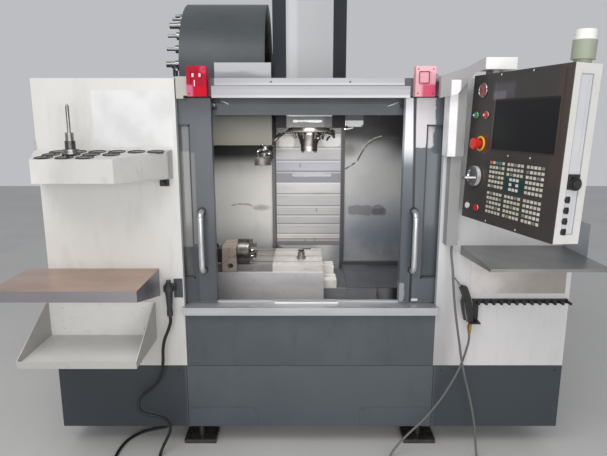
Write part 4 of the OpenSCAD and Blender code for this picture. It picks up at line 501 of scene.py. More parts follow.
for z in SLATS:
    way.stripe(Z, z - 0.0035, z + 0.002, (84, 82, 83), 0.75, 0.003)
    way.stripe(Z, z - 0.013, z - 0.006, (196, 194, 192), 0.45, 0.003)
for x, z in ((-0.02, 0.765), (0.04, 0.768), (-0.05, 1.235), (0.05, 0.955)):
    way.ragged_spot((x, -0.04, z), (0.012, 0.2, 0.03), (90, 86, 84), 0.6, 0.5, seed=9 * x)

# Machined metal
(Paint("steel", (150, 149, 148), 0.28, 0.85)
 .blotch((108, 106, 104), 0.5, 26, seed=1)
 .uneven(0.12, 30))

(Paint("steel_dark", (96, 93, 90), 0.32, 0.8)
 .blotch((58, 55, 52), 0.5, 26, seed=1)
 .uneven(0.12, 30))

(Paint("nose", (84, 79, 75), 0.3, 0.75)
 # Painted highlight: a bright stripe down the nose
 .stripe(X, -0.022, 0.012, (222, 218, 212), 0.75, 0.01)
 .blotch((66, 62, 58), 0.5, 30, seed=1))

(Paint("ring_steel", (176, 172, 168), 0.24, 0.8)
 .blotch((84, 80, 76), 0.6, 40, seed=1))

(Paint("iron", (198, 194, 190), 0.38, 0.4)
 .band(X, -0.195, -0.203, (106, 103, 106), 0.92)
 .blotch((160, 156, 150), 0.5, 12, (0.4, 1, 1), 3)
 .blotch((98, 92, 86), 0.4, 50, (0.5, 1, 1), 5, 0.55, 0.75)
 .grain(0.1, 380, (0.3, 1, 1)))

(Paint("chrome", (206, 206, 206), 0.12, 1)
 .blotch((150, 150, 152), 0.3, 30))

(Paint("dial", (236, 234, 230), 0.3, 0.2)
 .blotch((120, 118, 116), 0.6, 40, seed=4))

(Paint("brass", (188, 148, 78), 0.28, 0.9)
 .blotch((128, 92, 44), 0.5, 60))

(Paint("handle_steel", (214, 215, 217), 0.24, 0.7)
 .blotch((120, 121, 123), 0.4, 16, (1, 1, 0.4)))

# Plastics, rubber and small painted things
for key, colour, rough in (
    ("black", (24, 24, 25), 0.45), ("rubber", (20, 20, 21), 0.6), ("hose_grey", (100, 100, 98), 0.5),
    ("key_pale", (196, 194, 178), 0.5), ("key_orange", (206, 108, 58), 0.5),
    ("key_teal", (64, 128, 128), 0.5), ("key_white", (212, 210, 204), 0.5),
    ("key_grey", (132, 130, 124), 0.5), ("red", (196, 30, 28), 0.3), ("stop_red", (216, 42, 32), 0.35),
    ("yellow", (226, 186, 40), 0.45), ("green", (52, 140, 84), 0.35), ("ilk_dark", (96, 20, 38), 0.4),
    ("ilk_line", (134, 34, 62), 0.35), ("button_white", (224, 222, 216), 0.35),
    ("lens", (150, 156, 138), 0.3), ("cap_white", (232, 230, 225), 0.35), ("motor", (34, 34, 36), 0.45),
    # lamp: the near white of the painted highlight on the sill
    ("lamp", (240, 240, 236), 0.3), ("port_dark", (40, 40, 42), 0.4), ("gun_grey", (48, 49, 53), 0.45),
    ("holster", (66, 70, 74), 0.4), ("board", (220, 220, 219), 0.5), ("hole", (30, 30, 32), 0.7),
    ("hub_white", (255, 254, 252), 0.35), ("plug_light", (178, 174, 167), 0.4),
    ("pad_teal", (30, 62, 64), 0.45), ("seal_grey", (58, 62, 66), 0.5),
    ("post_right", (186, 186, 184), 0.42),
):
    plain(key, colour, rough)

# The two interlocks, and the lamp under the header
(Paint("ilk_red", (172, 20, 46), 0.5, spec=0.12)
 .patch((-0.505, -0.475), (1.6, 1.645), (206, 112, 142), 0.8, 0.006)
 .patch((-0.47, -0.42), (1.6, 1.64), (200, 8, 34), 0.8, 0.008)
 .patch((-0.445, -0.42), (1.69, 1.73), (214, 74, 100), 0.7, 0.008))

(Paint("ilk_pink", (228, 166, 176), 0.45, spec=0.2)
 .patch((0.41, 0.51), (1.69, 1.73), (246, 188, 194), 0.8, 0.01)
 .patch((0.447, 0.51), (1.59, 1.648), (206, 62, 98), 0.9, 0.008))

(Paint("lamp_glass", (196, 197, 196), 0.35, spec=0.3)
 .band(Z, 1.503, 1.506, (40, 41, 44), 0.97)
 .patch((0.14, 0.163), (1.47, 1.484), (52, 53, 56), 0.95, 0.003)
 .patch((0.222, 0.24), (1.47, 1.486), (52, 53, 56), 0.95, 0.003))

# The pendant
(Paint("disc_red", (150, 92, 92), 0.3)
 .blotch((96, 40, 44), 0.7, 60, seed=2))

# Painted light and shade: the boom's white paint shaded grey, its front face painted white where lit
(Paint("boom", (160, 156, 158), 0.42)
 .stripe(X, 0.549, 0.64, (146, 146, 145), 1, 0.002, (Z, 1.668, 1.662))
 .patch((0.547, 0.584), (1.361, 1.66), (252, 251, 253), 1, 0.003)
 .blotch((140, 137, 138), 0.2, 12, seed=4))

(Paint("screen", (28, 29, 31), 0.4, spec=0.3).turned(UNPENDANT)
 .patch((-0.2, -0.02), (0, 0.1), (34, 40, 36), 0.6, 0.05)
 .patch((-0.2, 0.3), (0.178, 0.3), (52, 50, 50), 0.9, 0.002))

(Paint("panel_dark", (62, 58, 57), 0.42).turned(UNPENDANT)
 .blotch((48, 45, 44), 0.4, 9, seed=3)
 .patch((0.215, 0.28), (-0.1, 0.3), (74, 61, 56), 0.7, 0.012)
 .patch((-0.132, 0), (0.186, 0.24), (84, 80, 90), 0.7, 0.01)
 .patch((-0.13, -0.05), (0.184, 0.212), (114, 110, 120), 0.7, 0.006)
 .patch((-0.1165, -0.1125), (0, 0.245), (150, 146, 150), 0.85, 0.0008)
 .patch((-0.214, -0.144), (-0.014, 0.052), (128, 44, 38), 0.75, 0.008)
 .patch((-0.215, -0.15), (-0.105, -0.1), (88, 50, 46), 0.5, 0.004)
 .patch((-0.006, 0.101), (-0.147, -0.088), (30, 58, 60), 0.85, 0.003))

# The left door's seal, in painted reflection, and the painted highlight down its edge; the white glare on the
# right door, and that door's edge with a painted highlight, and its marks
SEAL_X, LEFT_EDGE_GLINT_X = (-0.5135, -0.496), (-0.4165, -0.4105)
GLARE_Z, MARK_X = (1.392, 1.62), (0.452, 0.484)
EDGE = (0.395, 0.4405)

(Paint("door_dark", (80, 84, 90), 0.36, spec=0.45)
 # Painted shade: darker towards the bottom
 .band(Z, 1.2, 0.8, (46, 51, 54), 0.9)
 .blotch((98, 103, 110), 0.4, 5, (1, 1, 0.4), 3)
 # Painted reflection on the seal, in the same bands as the pane
 .patch(SEAL_X, (0.97, 1.37), (120, 120, 118), 0.8, 0.003)
 .patch(SEAL_X, (0.7, 0.955), (56, 62, 64), 0.8, 0.003)
 # Painted highlight down the door's edge, fainter lower down
 .patch(LEFT_EDGE_GLINT_X, (1.1, 1.58), (214, 214, 222), 0.9, 0.0015)
 .patch(LEFT_EDGE_GLINT_X, (0.7, 1.1), (112, 117, 124), 0.7, 0.0015)
 .peel())

(Paint("door_dark_right", (86, 93, 100), 0.36, spec=0.5)
 # Painted shade: darker towards the bottom
 .band(Z, 1.2, 0.8, (64, 71, 79), 0.9)
 .blotch((104, 111, 118), 0.4, 5, (1, 1, 0.4), 3)
 .patch((0.4455, 0.492), GLARE_Z, (214, 210, 213), 0.97, 0.002)
 .patch((0.46, 0.527), GLARE_Z, (210, 206, 209), 0.95, 0.014, 0.6, 3)
 .patch((0.49, 0.53), (1.37, 1.41), (70, 76, 84), 0.7, 0.012, 0.4, 5)
 # Painted highlight down the edge, brightest at the top
 .stripe(X, *EDGE, (72, 78, 86), 1, 0.0015)
 .stripe(X, *EDGE, (112, 118, 126), 1, 0.0015, (Z, 1.1, 1.42))
 .stripe(X, *EDGE, (236, 236, 240), 1, 0.0015, (Z, 1.3, 1.4))
 .patch((0.395, 0.423), (0.7, 0.79), (150, 152, 156), 0.8, 0.012, 0.7, 2)
 .patch(MARK_X, (0.706, 0.717), (214, 214, 216), 0.9, 0.0015)
 .patch(MARK_X, (0.69, 0.699), (196, 196, 198), 0.8, 0.0015)
 .drawn_line(((0.434, 1.66), (0.4437, 1.38), (0.4505, 1.05), (0.45, 0.6)), 0.0085, (18, 19, 23), 1)
 .peel())

# Painted reflection: light in the middle, darker at the top left and towards the bottom
(Paint("glass_left", (128, 128, 126), 0.14, spec=0.5, coat=0.3)
 .patch((-0.56, -0.5), (1.375, 1.5), (84, 88, 92), 0.9, 0.006)
 .band(Z, 0.96, 0.95, (58, 64, 66), 0.9)
 .blotch((146, 146, 143), 0.4, 7, (1, 1, 0.6), 4, 0.45, 0.65))

# Painted reflection: darker towards the bottom, with the white glare
(Paint("glass_right", (84, 91, 97), 0.16, spec=0.4, coat=0.2)
 .band(Z, 1.1, 0.78, (66, 73, 80), 0.9)
 .patch((0.44, 0.527), GLARE_Z, (216, 212, 214), 0.9, 0.014, 0.6, 3)
 .blotch((104, 110, 116), 0.5, 6, (1, 1, 0.5), 2, 0.45, 0.65))


# Painting the parts


def coat(node, base, *rules):
    """Gives a part its material, and other materials to the faces for which a rule's test is true.

    A test gets the middle c of a face and its normal n.
    """
    mesh = NODES[node].data
    mesh.materials.clear()
    mesh.materials.append(MATERIALS[base])
    index = {}
    for key, test in rules:
        index[key] = len(mesh.materials)
        mesh.materials.append(MATERIALS[key])
    for f in mesh.polygons:
        f.material_index = next((index[key] for key, test in rules if test(f.center, f.normal)), 0)


# Parts of one material
for node, key in {
    "base_casting": "cast", "column_casting": "cast", "atc_frame": "cast", "leveling_feet": "steel_dark",
    "rotary_chuck": "steel_dark", "swap_arm": "steel_dark", "linear_guides": "steel",
    "y_ballscrew": "steel", "x_ballscrew": "steel", "z_ballscrew": "steel", "arm_shaft": "steel",
    "coolant_ring": "ring_steel", "axis_motors": "motor", "spindle_motor": "motor",
    "main_switch": "black", "air_gun_lever": "black", "front_panel_right": "white_right",
    "outer_panels": "white_panel", "cabinet_door": "white_small", "saddle": "saddle_paint",
    "table": "iron", "table_apron": "grey_apron", "head_casting": "light_grey", "z_way_cover": "way",
    "atc_cover": "drum_paint", "window_left": "glass_left", "window_right": "glass_right",
    "power_on": "green", "power_off": "red", "e_stop": "stop_red", "cycle_start": "button_white",
    "feed_hold": "red",
}.items():
    coat(node, key)

coat("lower_panels", "skirt", ("apron_paint", lambda c, n: c.z > 0.42))
coat("front_trims", "trim", ("trim_top", lambda c, n: c.z > 1.0))
coat("header_beam", "dark_paint",
     ("ilk_red", lambda c, n: c.y < -1.052 and c.x < 0),
     ("ilk_pink", lambda c, n: c.y < -1.052 and c.x > 0),
     ("lamp_glass", lambda c, n: c.z < 1.5277))
coat("front_panel_left", "white_panel", ("board", lambda c, n: c.y < -1.0504))
coat("inner_liners", "liner",
     ("channel", lambda c, n: abs(c.x) < 0.224 and c.z > 0.74),
     ("deck_front", lambda c, n: 0.2 < c.x < 0.58 and -0.521 < c.y < -0.486 and c.z < 0.605),
     ("deck", lambda c, n: 0.588 < c.z < 0.612 and c.x > 0.2 and c.y > -0.53),
     ("liner_side", lambda c, n: abs(c.x) > 1.055 or c.y < -0.9 or c.z < 0.6))
coat("electrical_cabinet", "white_small",
     ("motor", lambda c, n: 0.64 < c.y < 0.9 and 0.6 < c.z < 1.7 and abs(c.x) < 0.7))
coat("rotary_unit", "beige", ("motor", lambda c, n: c.x < -0.4645))
coat("tool_probe", "steel", ("black", lambda c, n: 0.782 < c.z < 0.7905))
coat("head_cover", "hood_dark",
     ("hood_light", lambda c, n: n.y < -0.9 and c.y < -0.57),
     ("head_plate", lambda c, n: c.z < 1.5295 and abs(c.x) < 0.12))
coat("spindle", "nose", ("steel", lambda c, n: c.z > 1.43))
coat("atc_shroud", "cream",
     ("strip_light", lambda c, n: c.z > 1.55 and c.y < -0.495),
     # Its underside takes the painted shade
     ("cream_shaded_underside", lambda c, n: n.z < -0.5 and c.z < 1.4))
coat("tool_carousel", "motor", ("steel", lambda c, n: c.x < -0.66))
for door, key in (("door_left", "door_dark"), ("door_right", "door_dark_right")):
    coat(door, key, ("handle_steel", lambda c, n: c.y < -1.0145))
coat("tool_tray", "tray_paint", ("black", lambda c, n: c.z < 1.266))
coat("tray_tool", "steel", ("steel_dark", lambda c, n: 1.395 < c.z < 1.425))
coat("side_shelf", "shelf_steel", ("shelf_front", lambda c, n: c.z < 0.867 or n.y < -0.5))
# The bin's upward and inner faces take the lighter copy, painted light
coat("parts_bin", "bin_paint", ("bin_inside_painted_light", lambda c, n: n.z > 0.5 or (c.y > -1.1 and n.y < -0.5)))
coat("washdown_gun", "holster", ("gun_grey", lambda c, n: c.y < -1.072 or c.x < -0.608))
coat("pendant_boom", "boom", ("hub_white", lambda c, n: c.x > 0.67))
coat("work_tray", "tray_steel",
     ("back_plate", lambda c, n: c.y > -1.0525 and 0.753 < c.z < 0.9705),
     ("black", lambda c, n: c.z < 0.731),
     ("cheek", lambda c, n: c.x > 1.0 and abs(n.x) > 0.5))
coat("air_gun", "black",
     ("brass", lambda c, n: c.z < 0.6395 or (c.z < 0.642 and n.z > 0)),
     ("steel", lambda c, n: c.z > 0.807))


# The pendant's parts are told apart in its own axes
def local(c):
    """A point in the pendant's own axes, from the panel's middle."""
    return UNPENDANT @ Vector(c)


def on_screen(c, n):
    q = local(c)
    return -0.09 < q.x < 0.225 and 0.004 < q.z < 0.2 and q.y < 0.001


HOUSING_TOP = 0.2805
coat("pendant_housing", "housing_white",
     ("cap_white", lambda c, n: local(c).z > 0.3485 and c.z < 1.77),
     ("lens", lambda c, n: local(c).z > HOUSING_TOP and local(c).x > 0.19),
     ("steel", lambda c, n: local(c).z > HOUSING_TOP),
     ("light_grey", lambda c, n: 0.25 < local(c).x < 0.2695 and 0.027 < local(c).y < 0.075))
coat("pendant_face", "panel_dark", ("screen", on_screen),
     ("button_white", lambda c, n: -0.0016 < local(c).y < -0.0014))
coat("jog_wheel", "dial", ("chrome", lambda c, n: local(c).y < -0.0155))

# The keypad: three blocks of columns and two of rows, counted from the upper left key
KEY_PITCH_X, KEY_PITCH_Z = 0.019, 0.01748
KEYS_LEFT, KEYS_TOP = -0.1053, -0.042
BLOCK_GAP_X, BLOCK_GAP_Z = 0.012, 0.0105
BLOCK_2_X, BLOCK_3_X, BLOCK_2_Z = -0.01, 0.095, -0.15
BLOCK_ROWS = 6


def key_colour(c):
    """The material of the key that a point lies on."""
    q = local(c)
    gap_x = BLOCK_GAP_X * ((q.x >= BLOCK_2_X) + (q.x > BLOCK_3_X))
    col = int((q.x - KEYS_LEFT - gap_x) // KEY_PITCH_X)
    if q.z > BLOCK_2_Z:
        row = int((KEYS_TOP - q.z) / KEY_PITCH_Z)
    else:
        # A block's rows too many, which only shifts the pattern of the grey keys
        row = BLOCK_ROWS + int((KEYS_TOP - BLOCK_GAP_Z - q.z) / KEY_PITCH_Z)
    if (col, row) == (0, 0):
        return "key_orange"
    if col in (2, 3) and row == 0:
        return "key_teal"
    on_pad = 5 <= col <= 9 and 3 <= row <= 5
    if on_pad and (col in (5, 9) or (col, row) == (7, 4)):
        return "pad_teal"
    if on_pad or (col >= 10 and (row + col) % 4 == 0):
        return "key_white"
    return "key_grey" if (3 * col + 5 * row) % 7 == 0 else "key_pale"


def key_rule(colour):
    return colour, lambda c, n: key_colour(c) == colour


coat("pendant_keypad", "key_pale",
     *(key_rule(colour) for colour in ("key_orange", "key_teal", "pad_teal", "key_white", "key_grey")))

# Hoses: points chosen along the way that the photo shows, in millimetres
WASH = [(-616, -1090, 663.8), (-616, -1090, 634), (-628, -1092, 596), (-645, -1095, 554),
        (-654, -1097, 505), (-656, -1098, 455), (-664, -1099, 405), (-683, -1100, 357),
        (-714, -1102, 322), (-746, -1105, 300), (-768, -1112, 274), (-771, -1123, 245),
        (-752, -1133, 224), (-716, -1136, 212), (-678, -1130, 200), (-649, -1120, 178),
        (-636, -1113, 146), (-640, -1110, 112), (-655, -1111, 78), (-671, -1116, 45),
        (-681, -1130, 19), (-680, -1156, 9), (-672, -1195, 8), (-676, -1240, 8),
        (-705, -1283, 8), (-756, -1306, 8), (-812, -1298, 8), (-856, -1260, 8),
        (-878, -1204, 8), (-884, -1140, 8), (-882, -1072, 8), (-864, -1005, 8),
        (-820, -950, 8), (-762, -920, 8), (-706, -911, 16), (-662, -910, 48),
        (-636, -910, 100), (-608, -910, 150), (-570.3, -910, 150)]
AIR = [(604, -1090, 984.7), (604, -1090, 944), (611, -1099, 880), (616, -1105, 815),
       (623, -1109, 745), (633, -1112, 672), (646, -1114, 595), (659, -1116, 520),
       (673, -1118, 445), (690, -1120, 375), (708, -1122, 310), (724, -1124, 245),
       (738, -1125, 178), (747, -1127, 112), (752, -1132, 58), (754, -1146, 20),
       (754, -1172, 7), (749, -1212, 6), (729, -1264, 6), (687, -1313, 6),
       (626, -1346, 6), (560, -1356, 6), (494, -1346, 6), (434, -1313, 6),
       (393, -1264, 6), (369, -1206, 6), (362, -1162, 8), (370, -1138, 20),
       (404, -1125, 62), (450, -1118, 110), (498, -1112, 156), (542, -1108, 206),
       (585, -1104, 264), (622, -1101, 326), (655, -1099, 392), (678, -1097, 450),
       (692, -1096, 502), (701, -1096, 548), (701, -1096, 585.8)]


def smooth(points, steps=4):
    """Points along a smooth curve through the given ones, from millimetres to metres."""
    pts = [Vector(p) / 1000 for p in points]
    out = []
    for i in range(len(pts) - 1):
        a, b = pts[max(i - 1, 0)], pts[i]
        c, d = pts[i + 1], pts[min(i + 2, len(pts) - 1)]
        for k in range(steps):
            t = k / steps
            out.append(0.5 * (2 * b + (c - a) * t + (2 * a - 5 * b + 4 * c - d) * t * t
                              + (3 * b - a - 3 * c + d) * t ** 3))
    return out + [pts[-1]]


def hose(name, points, dia, mat, node):
    path = smooth(points)
    data = bpy.data.curves.new(name, "CURVE")
    data.dimensions = "3D"
    data.bevel_depth = dia / 2
    data.bevel_resolution = 4
    data.use_fill_caps = True
    line = data.splines.new("POLY")
    line.points.add(len(path) - 1)
    for q, v in zip(line.points, path):
        q.co = (*v, 1)
    line.use_smooth = True
    data.materials.append(MATERIALS[mat])
    obj = put(name, data)
    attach(obj, "machine")
    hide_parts(node)


hose("visual_wash_hose", WASH, 0.014, "rubber", "washdown_hose")
hose("visual_air_hose", AIR, 0.01, "hose_grey", "air_hose")

# Small fittings


class Piece:
    """One visible piece made of boxes, rods and rings, in one or more materials."""

    def __init__(self, name, body="machine", matrix=None):
        self.name, self.body = name, body
        self.matrix = matrix or Matrix.Identity(4)
        self.bm = bmesh.new()
        self.keys = []

    def give(self, verts, key, smooth_sides=False):
        """Gives the faces at these corners a material."""
        if key not in self.keys:
            self.keys.append(key)
        for f in {f for v in verts for f in v.link_faces}:
            f.material_index = self.keys.index(key)
            f.smooth = smooth_sides and len(f.verts) == 4

    def box(self, lo, hi, key, turn=None):
        lo, hi = Vector(lo), Vector(hi)
        place = self.matrix @ Matrix.Translation((lo + hi) / 2) @ (turn or Matrix.Identity(4))
        made = bmesh.ops.create_cube(self.bm, size=1, matrix=place @ Matrix.Diagonal((*(hi - lo), 1)))
        self.give(made["verts"], key)

    def rod(self, a, b, r, key, r2=None, sides=20):
        """A rod from a to b, or a cone if the radius at b is given too."""
        a, b = Vector(a), Vector(b)
        place = Matrix.Translation((a + b) / 2) @ (b - a).to_track_quat("Z", "Y").to_matrix().to_4x4()
        made = bmesh.ops.create_cone(self.bm, cap_ends=True, segments=sides, radius1=r, radius2=r2 or r,
                                     depth=(b - a).length, matrix=self.matrix @ place)
        self.give(made["verts"], key, True)

    def ring(self, centre, axis, r, tube, key, around=28, sides=8):
        """A ring of radius r, as thick as its tube's radius, round an axis."""
        axis = Vector(axis).normalized()
        side = axis.orthogonal().normalized()
        other = axis.cross(side)
        rows = []
        for i in range(around):
            a = 2 * math.pi * i / around
            out = side * math.cos(a) + other * math.sin(a)
            row = []
            for k in range(sides):
                b = 2 * math.pi * k / sides
                place = Vector(centre) + out * (r + tube * math.cos(b)) + axis * tube * math.sin(b)
                row.append(self.bm.verts.new(self.matrix @ place))
            rows.append(row)
        for row, after in zip(rows, rows[1:] + rows[:1]):
            for k in range(sides):
                k2 = (k + 1) % sides
                self.bm.faces.new((row[k], after[k], after[k2], row[k2]))
        self.give(sum(rows, []), key, True)

    def screw(self, at, out, r, key="steel_dark", h=0.004):
        """A screw's head of radius r and height h, with its hexagon socket."""
        at = Vector(at)
        top = at + out * h
        self.rod(at - out * 0.002, top, r, key, r * 0.9, 16)
        self.rod(top, at + out * (h + 0.0004), r * 0.45, "black", sides=6)

    def done(self, bevel=0.0):
        mesh = bpy.data.meshes.new(self.name)
        bmesh.ops.recalc_face_normals(self.bm, faces=self.bm.faces)
        self.bm.to_mesh(mesh)
        self.bm.free()
        for key in self.keys:
            mesh.materials.append(MATERIALS[key])
        obj = put(self.name, mesh)
        if bevel:
            b = obj.modifiers.new("bevel", "BEVEL")
            b.width, b.segments, b.limit_method = bevel, 2, "ANGLE"
        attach(obj, self.body)


def reach(node, axis, end):
    """How far a part reaches along an axis: the end is min or max."""
    return end(v.co[axis] for v in NODES[node].data.vertices)


FORWARD, BACK = Vector((0, -1, 0)), Vector((0, 1, 0))
PANEL_FRONT = reach("front_panel_right", Y, min)
SKIRT_FRONT = reach("lower_panels", Y, min)
LOCK_FRONT = reach("header_beam", Y, min)
SHELL_SIDE = reach("outer_panels", X, max)
SHELL_REAR = reach("outer_panels", Y, max)
CABINET_REAR = reach("cabinet_door", Y, max)

# Screws in the header
HEADER_FRONT = -1.055
q = Piece("header_screws")
for x in (-0.163, 0.161):
    q.screw((x, HEADER_FRONT, 1.66), FORWARD, 0.0035, "black")
q.done()

# Marks, frame and screws on the faces of the two interlocks
LOCK_FACE, LOCK_IN, LOCK_OUT = LOCK_FRONT - 0.0002, LOCK_FRONT + 0.0005, LOCK_FRONT - 0.0005
FRAME_X, FRAME_Z, FRAME_R = (0.434, 0.474), (1.652, 1.697), 0.0016
q = Piece("interlock_details")
for x in (-0.478, -0.45):
    q.box((x, LOCK_OUT, 1.676), (x + 0.008, LOCK_IN, 1.69), "button_white")
q.box((-0.47, LOCK_OUT, 1.64), (-0.466, LOCK_IN, 1.664), "button_white")
for z in FRAME_Z:
    q.rod((FRAME_X[0] + 0.004, LOCK_FACE, z), (FRAME_X[1] - 0.004, LOCK_FACE, z), FRAME_R, "ilk_line")
for x in FRAME_X:
    q.rod((x, LOCK_FACE, FRAME_Z[0] + 0.004), (x, LOCK_FACE, FRAME_Z[1] - 0.004), FRAME_R, "ilk_line")
for x in (FRAME_X[0] + 0.001, FRAME_X[1] - 0.001):
    for z in (FRAME_Z[0] + 0.001, FRAME_Z[1] - 0.001):
        q.rod((x, LOCK_FRONT - 0.001, z), (x, LOCK_IN, z), 0.0026, "ilk_line")
for left in (-0.5, 0.42):
    for z in (1.612, 1.706):
        for x in (left + 0.01, left + 0.07):
            q.screw((x, LOCK_FRONT, z), FORWARD, 0.003, "ilk_dark", h=0.001)
q.done()

# Plugs and brackets at the interlocks' outer ends
q = Piece("interlock_plugs")
q.rod((0.5, -1.076, 1.674), (0.512, -1.076, 1.674), 0.015, "plug_light")
q.rod((0.51, -1.076, 1.67), (0.52, -1.076, 1.67), 0.011, "post_right")
q.box((0.499, -1.066, 1.64), (0.5035, -1.051, 1.69), "dark_paint")
q.box((-0.5495, -1.0735, 1.604), (-0.5005, -1.0505, 1.68), "plug_light")
q.box((-0.5495, -1.0745, 1.592), (-0.52, -1.0505, 1.612), "plug_light")
q.rod((-0.549, -1.062, 1.705), (-0.549, -1.062, 1.68), 0.01, "black")
q.rod((-0.549, -1.062, 1.726), (-0.549, -1.062, 1.704), 0.015, "black")
for x in (-0.559, -0.541):
    q.rod((x, -1.078, 1.706), (x, -1.07, 1.706), 0.0045, "plug_light")
q.done(0.001)

# Brackets of the header's inner beam and the lamp's holder
LINTEL_FRONT, ARM_Y, LAMP_Y = -0.952, -0.949, -0.905
q = Piece("lintel_brackets")
q.box((-0.436, LINTEL_FRONT, 1.578), (-0.392, -0.938, 1.6), "black")
q.box((-0.428, LINTEL_FRONT, 1.55), (-0.404, -0.94, 1.568), "black")
q.rod((-0.418, LINTEL_FRONT - 0.001, 1.57), (-0.418, -0.945, 1.57), 0.008, "steel")
q.rod((-0.384, ARM_Y, 1.589), (-0.352, ARM_Y, 1.574), 0.0042, "trim")
q.rod((0.333, ARM_Y, 1.566), (0.38, ARM_Y, 1.582), 0.0042, "trim")
q.box((0.386, LINTEL_FRONT, 1.556), (0.44, -0.94, 1.574), "hood_dark")
q.rod((0.16, LAMP_Y, 1.466), (0.19, LAMP_Y, 1.474), 0.005, "chrome")
q.rod((0.15, LAMP_Y, 1.463), (0.162, LAMP_Y, 1.466), 0.008, "steel_dark")
q.done(0.001)

# Plate in front of the hood's lower edge, and the disc round the spindle's nose
SPINDLE_Y = -0.44
q = Piece("head_front_plate", "head")
q.box((-0.116, -0.585, 1.47), (0.114, -0.5775, 1.524), "head_plate")
for left, right in ((-0.166, -0.116), (0.114, 0.184)):
    q.box((left, -0.583, 1.468), (right, -0.579, 1.53), "hood_low")
q.rod((0.0, SPINDLE_Y, 1.4462), (0.0, SPINDLE_Y, 1.4532), 0.122, "head_edge", sides=48)
q.done(0.001)

# Coolant pipes and their fittings beside the spindle nose: two crowds of short bits, and three pipes
q = Piece("coolant_pipes", "head")
random.seed(11)
for x0, x1, z0, z1, n in ((-0.268, -0.18, 1.325, 1.38, 13), (0.05, 0.135, 1.405, 1.452, 9)):
    for _ in range(n):
        x, z = random.uniform(x0, x1), random.uniform(z0, z1)
        y = random.uniform(-0.5, -0.44)
        dx, dz = random.uniform(-0.016, 0.016), random.uniform(-0.018, 0.018)
        q.rod((x, y, z), (x + dx, y - 0.012, z + dz), random.uniform(0.004, 0.009),
              random.choice(("chrome", "black", "steel_dark", "steel", "black")), sides=12)
q.rod((-0.262, -0.47, 1.372), (-0.15, -0.45, 1.436), 0.006, "black")
q.rod((-0.215, -0.47, 1.378), (-0.13, -0.45, 1.44), 0.005, "steel_dark")
q.rod((0.045, -0.45, 1.452), (0.135, -0.47, 1.43), 0.006, "black")
q.done()

# Screws of the apron and of the two skirts beside it
q = Piece("skirt_bolts")
for x in (-0.54, -0.255, 0.246, 0.543):
    q.screw((x, SKIRT_FRONT, 0.19), FORWARD, 0.005, "dark_paint")
for x in (-1.12, -0.6, 0.6, 1.12):
    q.screw((x, PANEL_FRONT, 0.385), FORWARD, 0.005, "skirt")
q.done()

# Screws and louvres of the outer sheets
q = Piece("side_fixings")
LOUVRE_Y, LOUVRE_PITCH = (0.55, 0.85), 0.03
EDGE_SCREWS = [(y, z) for z in (0.445, 1.645) for y in (-0.96, -0.5, -0.06, 0.1, 0.55, 0.98)]
SEAM_SCREWS = [(y, z) for z in (0.85, 1.25) for y in (-0.06, 0.1)]
for s in (-1, 1):
    for y, z in EDGE_SCREWS + SEAM_SCREWS:
        q.screw((s * SHELL_SIDE, y, z), Vector((s, 0, 0)), 0.007, h=0.002)
    slit, lip = s * (SHELL_SIDE - 0.0005), s * (SHELL_SIDE + 0.0005)
    for k in range(9):
        z = 0.56 + LOUVRE_PITCH * k
        q.box((slit - 0.0012, LOUVRE_Y[0], z), (slit + 0.0012, LOUVRE_Y[1], z + 0.011), "black")
        q.box((lip - 0.0025, LOUVRE_Y[0] - 0.005, z + 0.01),
              (lip + 0.0025, LOUVRE_Y[1] + 0.005, z + 0.014), "white_small")
    for z in (0.5, 1.1, 1.6):
        q.screw((s * 1.1, SHELL_REAR, z), BACK, 0.007, h=0.002)
    for x in (0.25, 0.7, 1.1):
        q.screw((s * x, SHELL_REAR, 0.16), BACK, 0.006, "skirt", h=0.002)
q.done()

# Louvres and turn latches of the cabinet's door
q = Piece("cabinet_fixings", BODY["cabinet_door"])
SLOT_X, SLOT_PITCH = (-0.42, -0.06), 0.028
for lowest in (0.62, 1.48):
    for k in range(7):
        z = lowest + SLOT_PITCH * k
        q.box((SLOT_X[0], CABINET_REAR - 0.001, z), (SLOT_X[1], CABINET_REAR + 0.0008, z + 0.01), "black")
        q.box((SLOT_X[0] - 0.005, CABINET_REAR - 0.0008, z + 0.009),
              (SLOT_X[1] + 0.005, CABINET_REAR + 0.0032, z + 0.013), "white_small")
LATCH_X = 0.715
for z in (0.62, 1.14, 1.68):
    q.rod((LATCH_X, CABINET_REAR - 0.0008, z), (LATCH_X, CABINET_REAR + 0.004, z), 0.014, "steel")
    q.box((LATCH_X - 0.003, CABINET_REAR + 0.0035, z - 0.009),
          (LATCH_X + 0.003, CABINET_REAR + 0.0046, z + 0.009), "black")
q.done(0.0006)

# Door details: seals round the panes and dark feet of the handles
SEAL_HIGH, SEAL_WIDE = 0.008, 0.006
HANDLE_IN = 0.052
for side, s, leading in (("left", -1, reach("door_left", X, max)), ("right", 1, reach("door_right", X, min))):
    pane = "window_" + side
    q = Piece("door_seals_" + side, "door_" + side)
    (lo, hi), (z0, z1) = ((reach(pane, axis, min), reach(pane, axis, max)) for axis in (X, Z))
    y1 = reach(pane, Y, min)
    y0 = y1 - 0.0148
    for box in (((lo, y0, z0), (hi, y1, z0 + SEAL_HIGH)), ((lo, y0, z1 - SEAL_HIGH), (hi, y1, z1)),
                ((lo, y0, z0), (lo + SEAL_WIDE, y1, z1)), ((hi - SEAL_WIDE, y0, z0), (hi, y1, z1))):
        q.box(*box, "seal_grey")
    q.done()
    q = Piece("handle_feet_" + side, "door_" + side)
    x = leading + s * HANDLE_IN
    for z in (0.8515, 1.1165):
        q.rod((x, -1.024, z), (x, -1.0135, z), 0.017, "black")
    q.done(0.001)

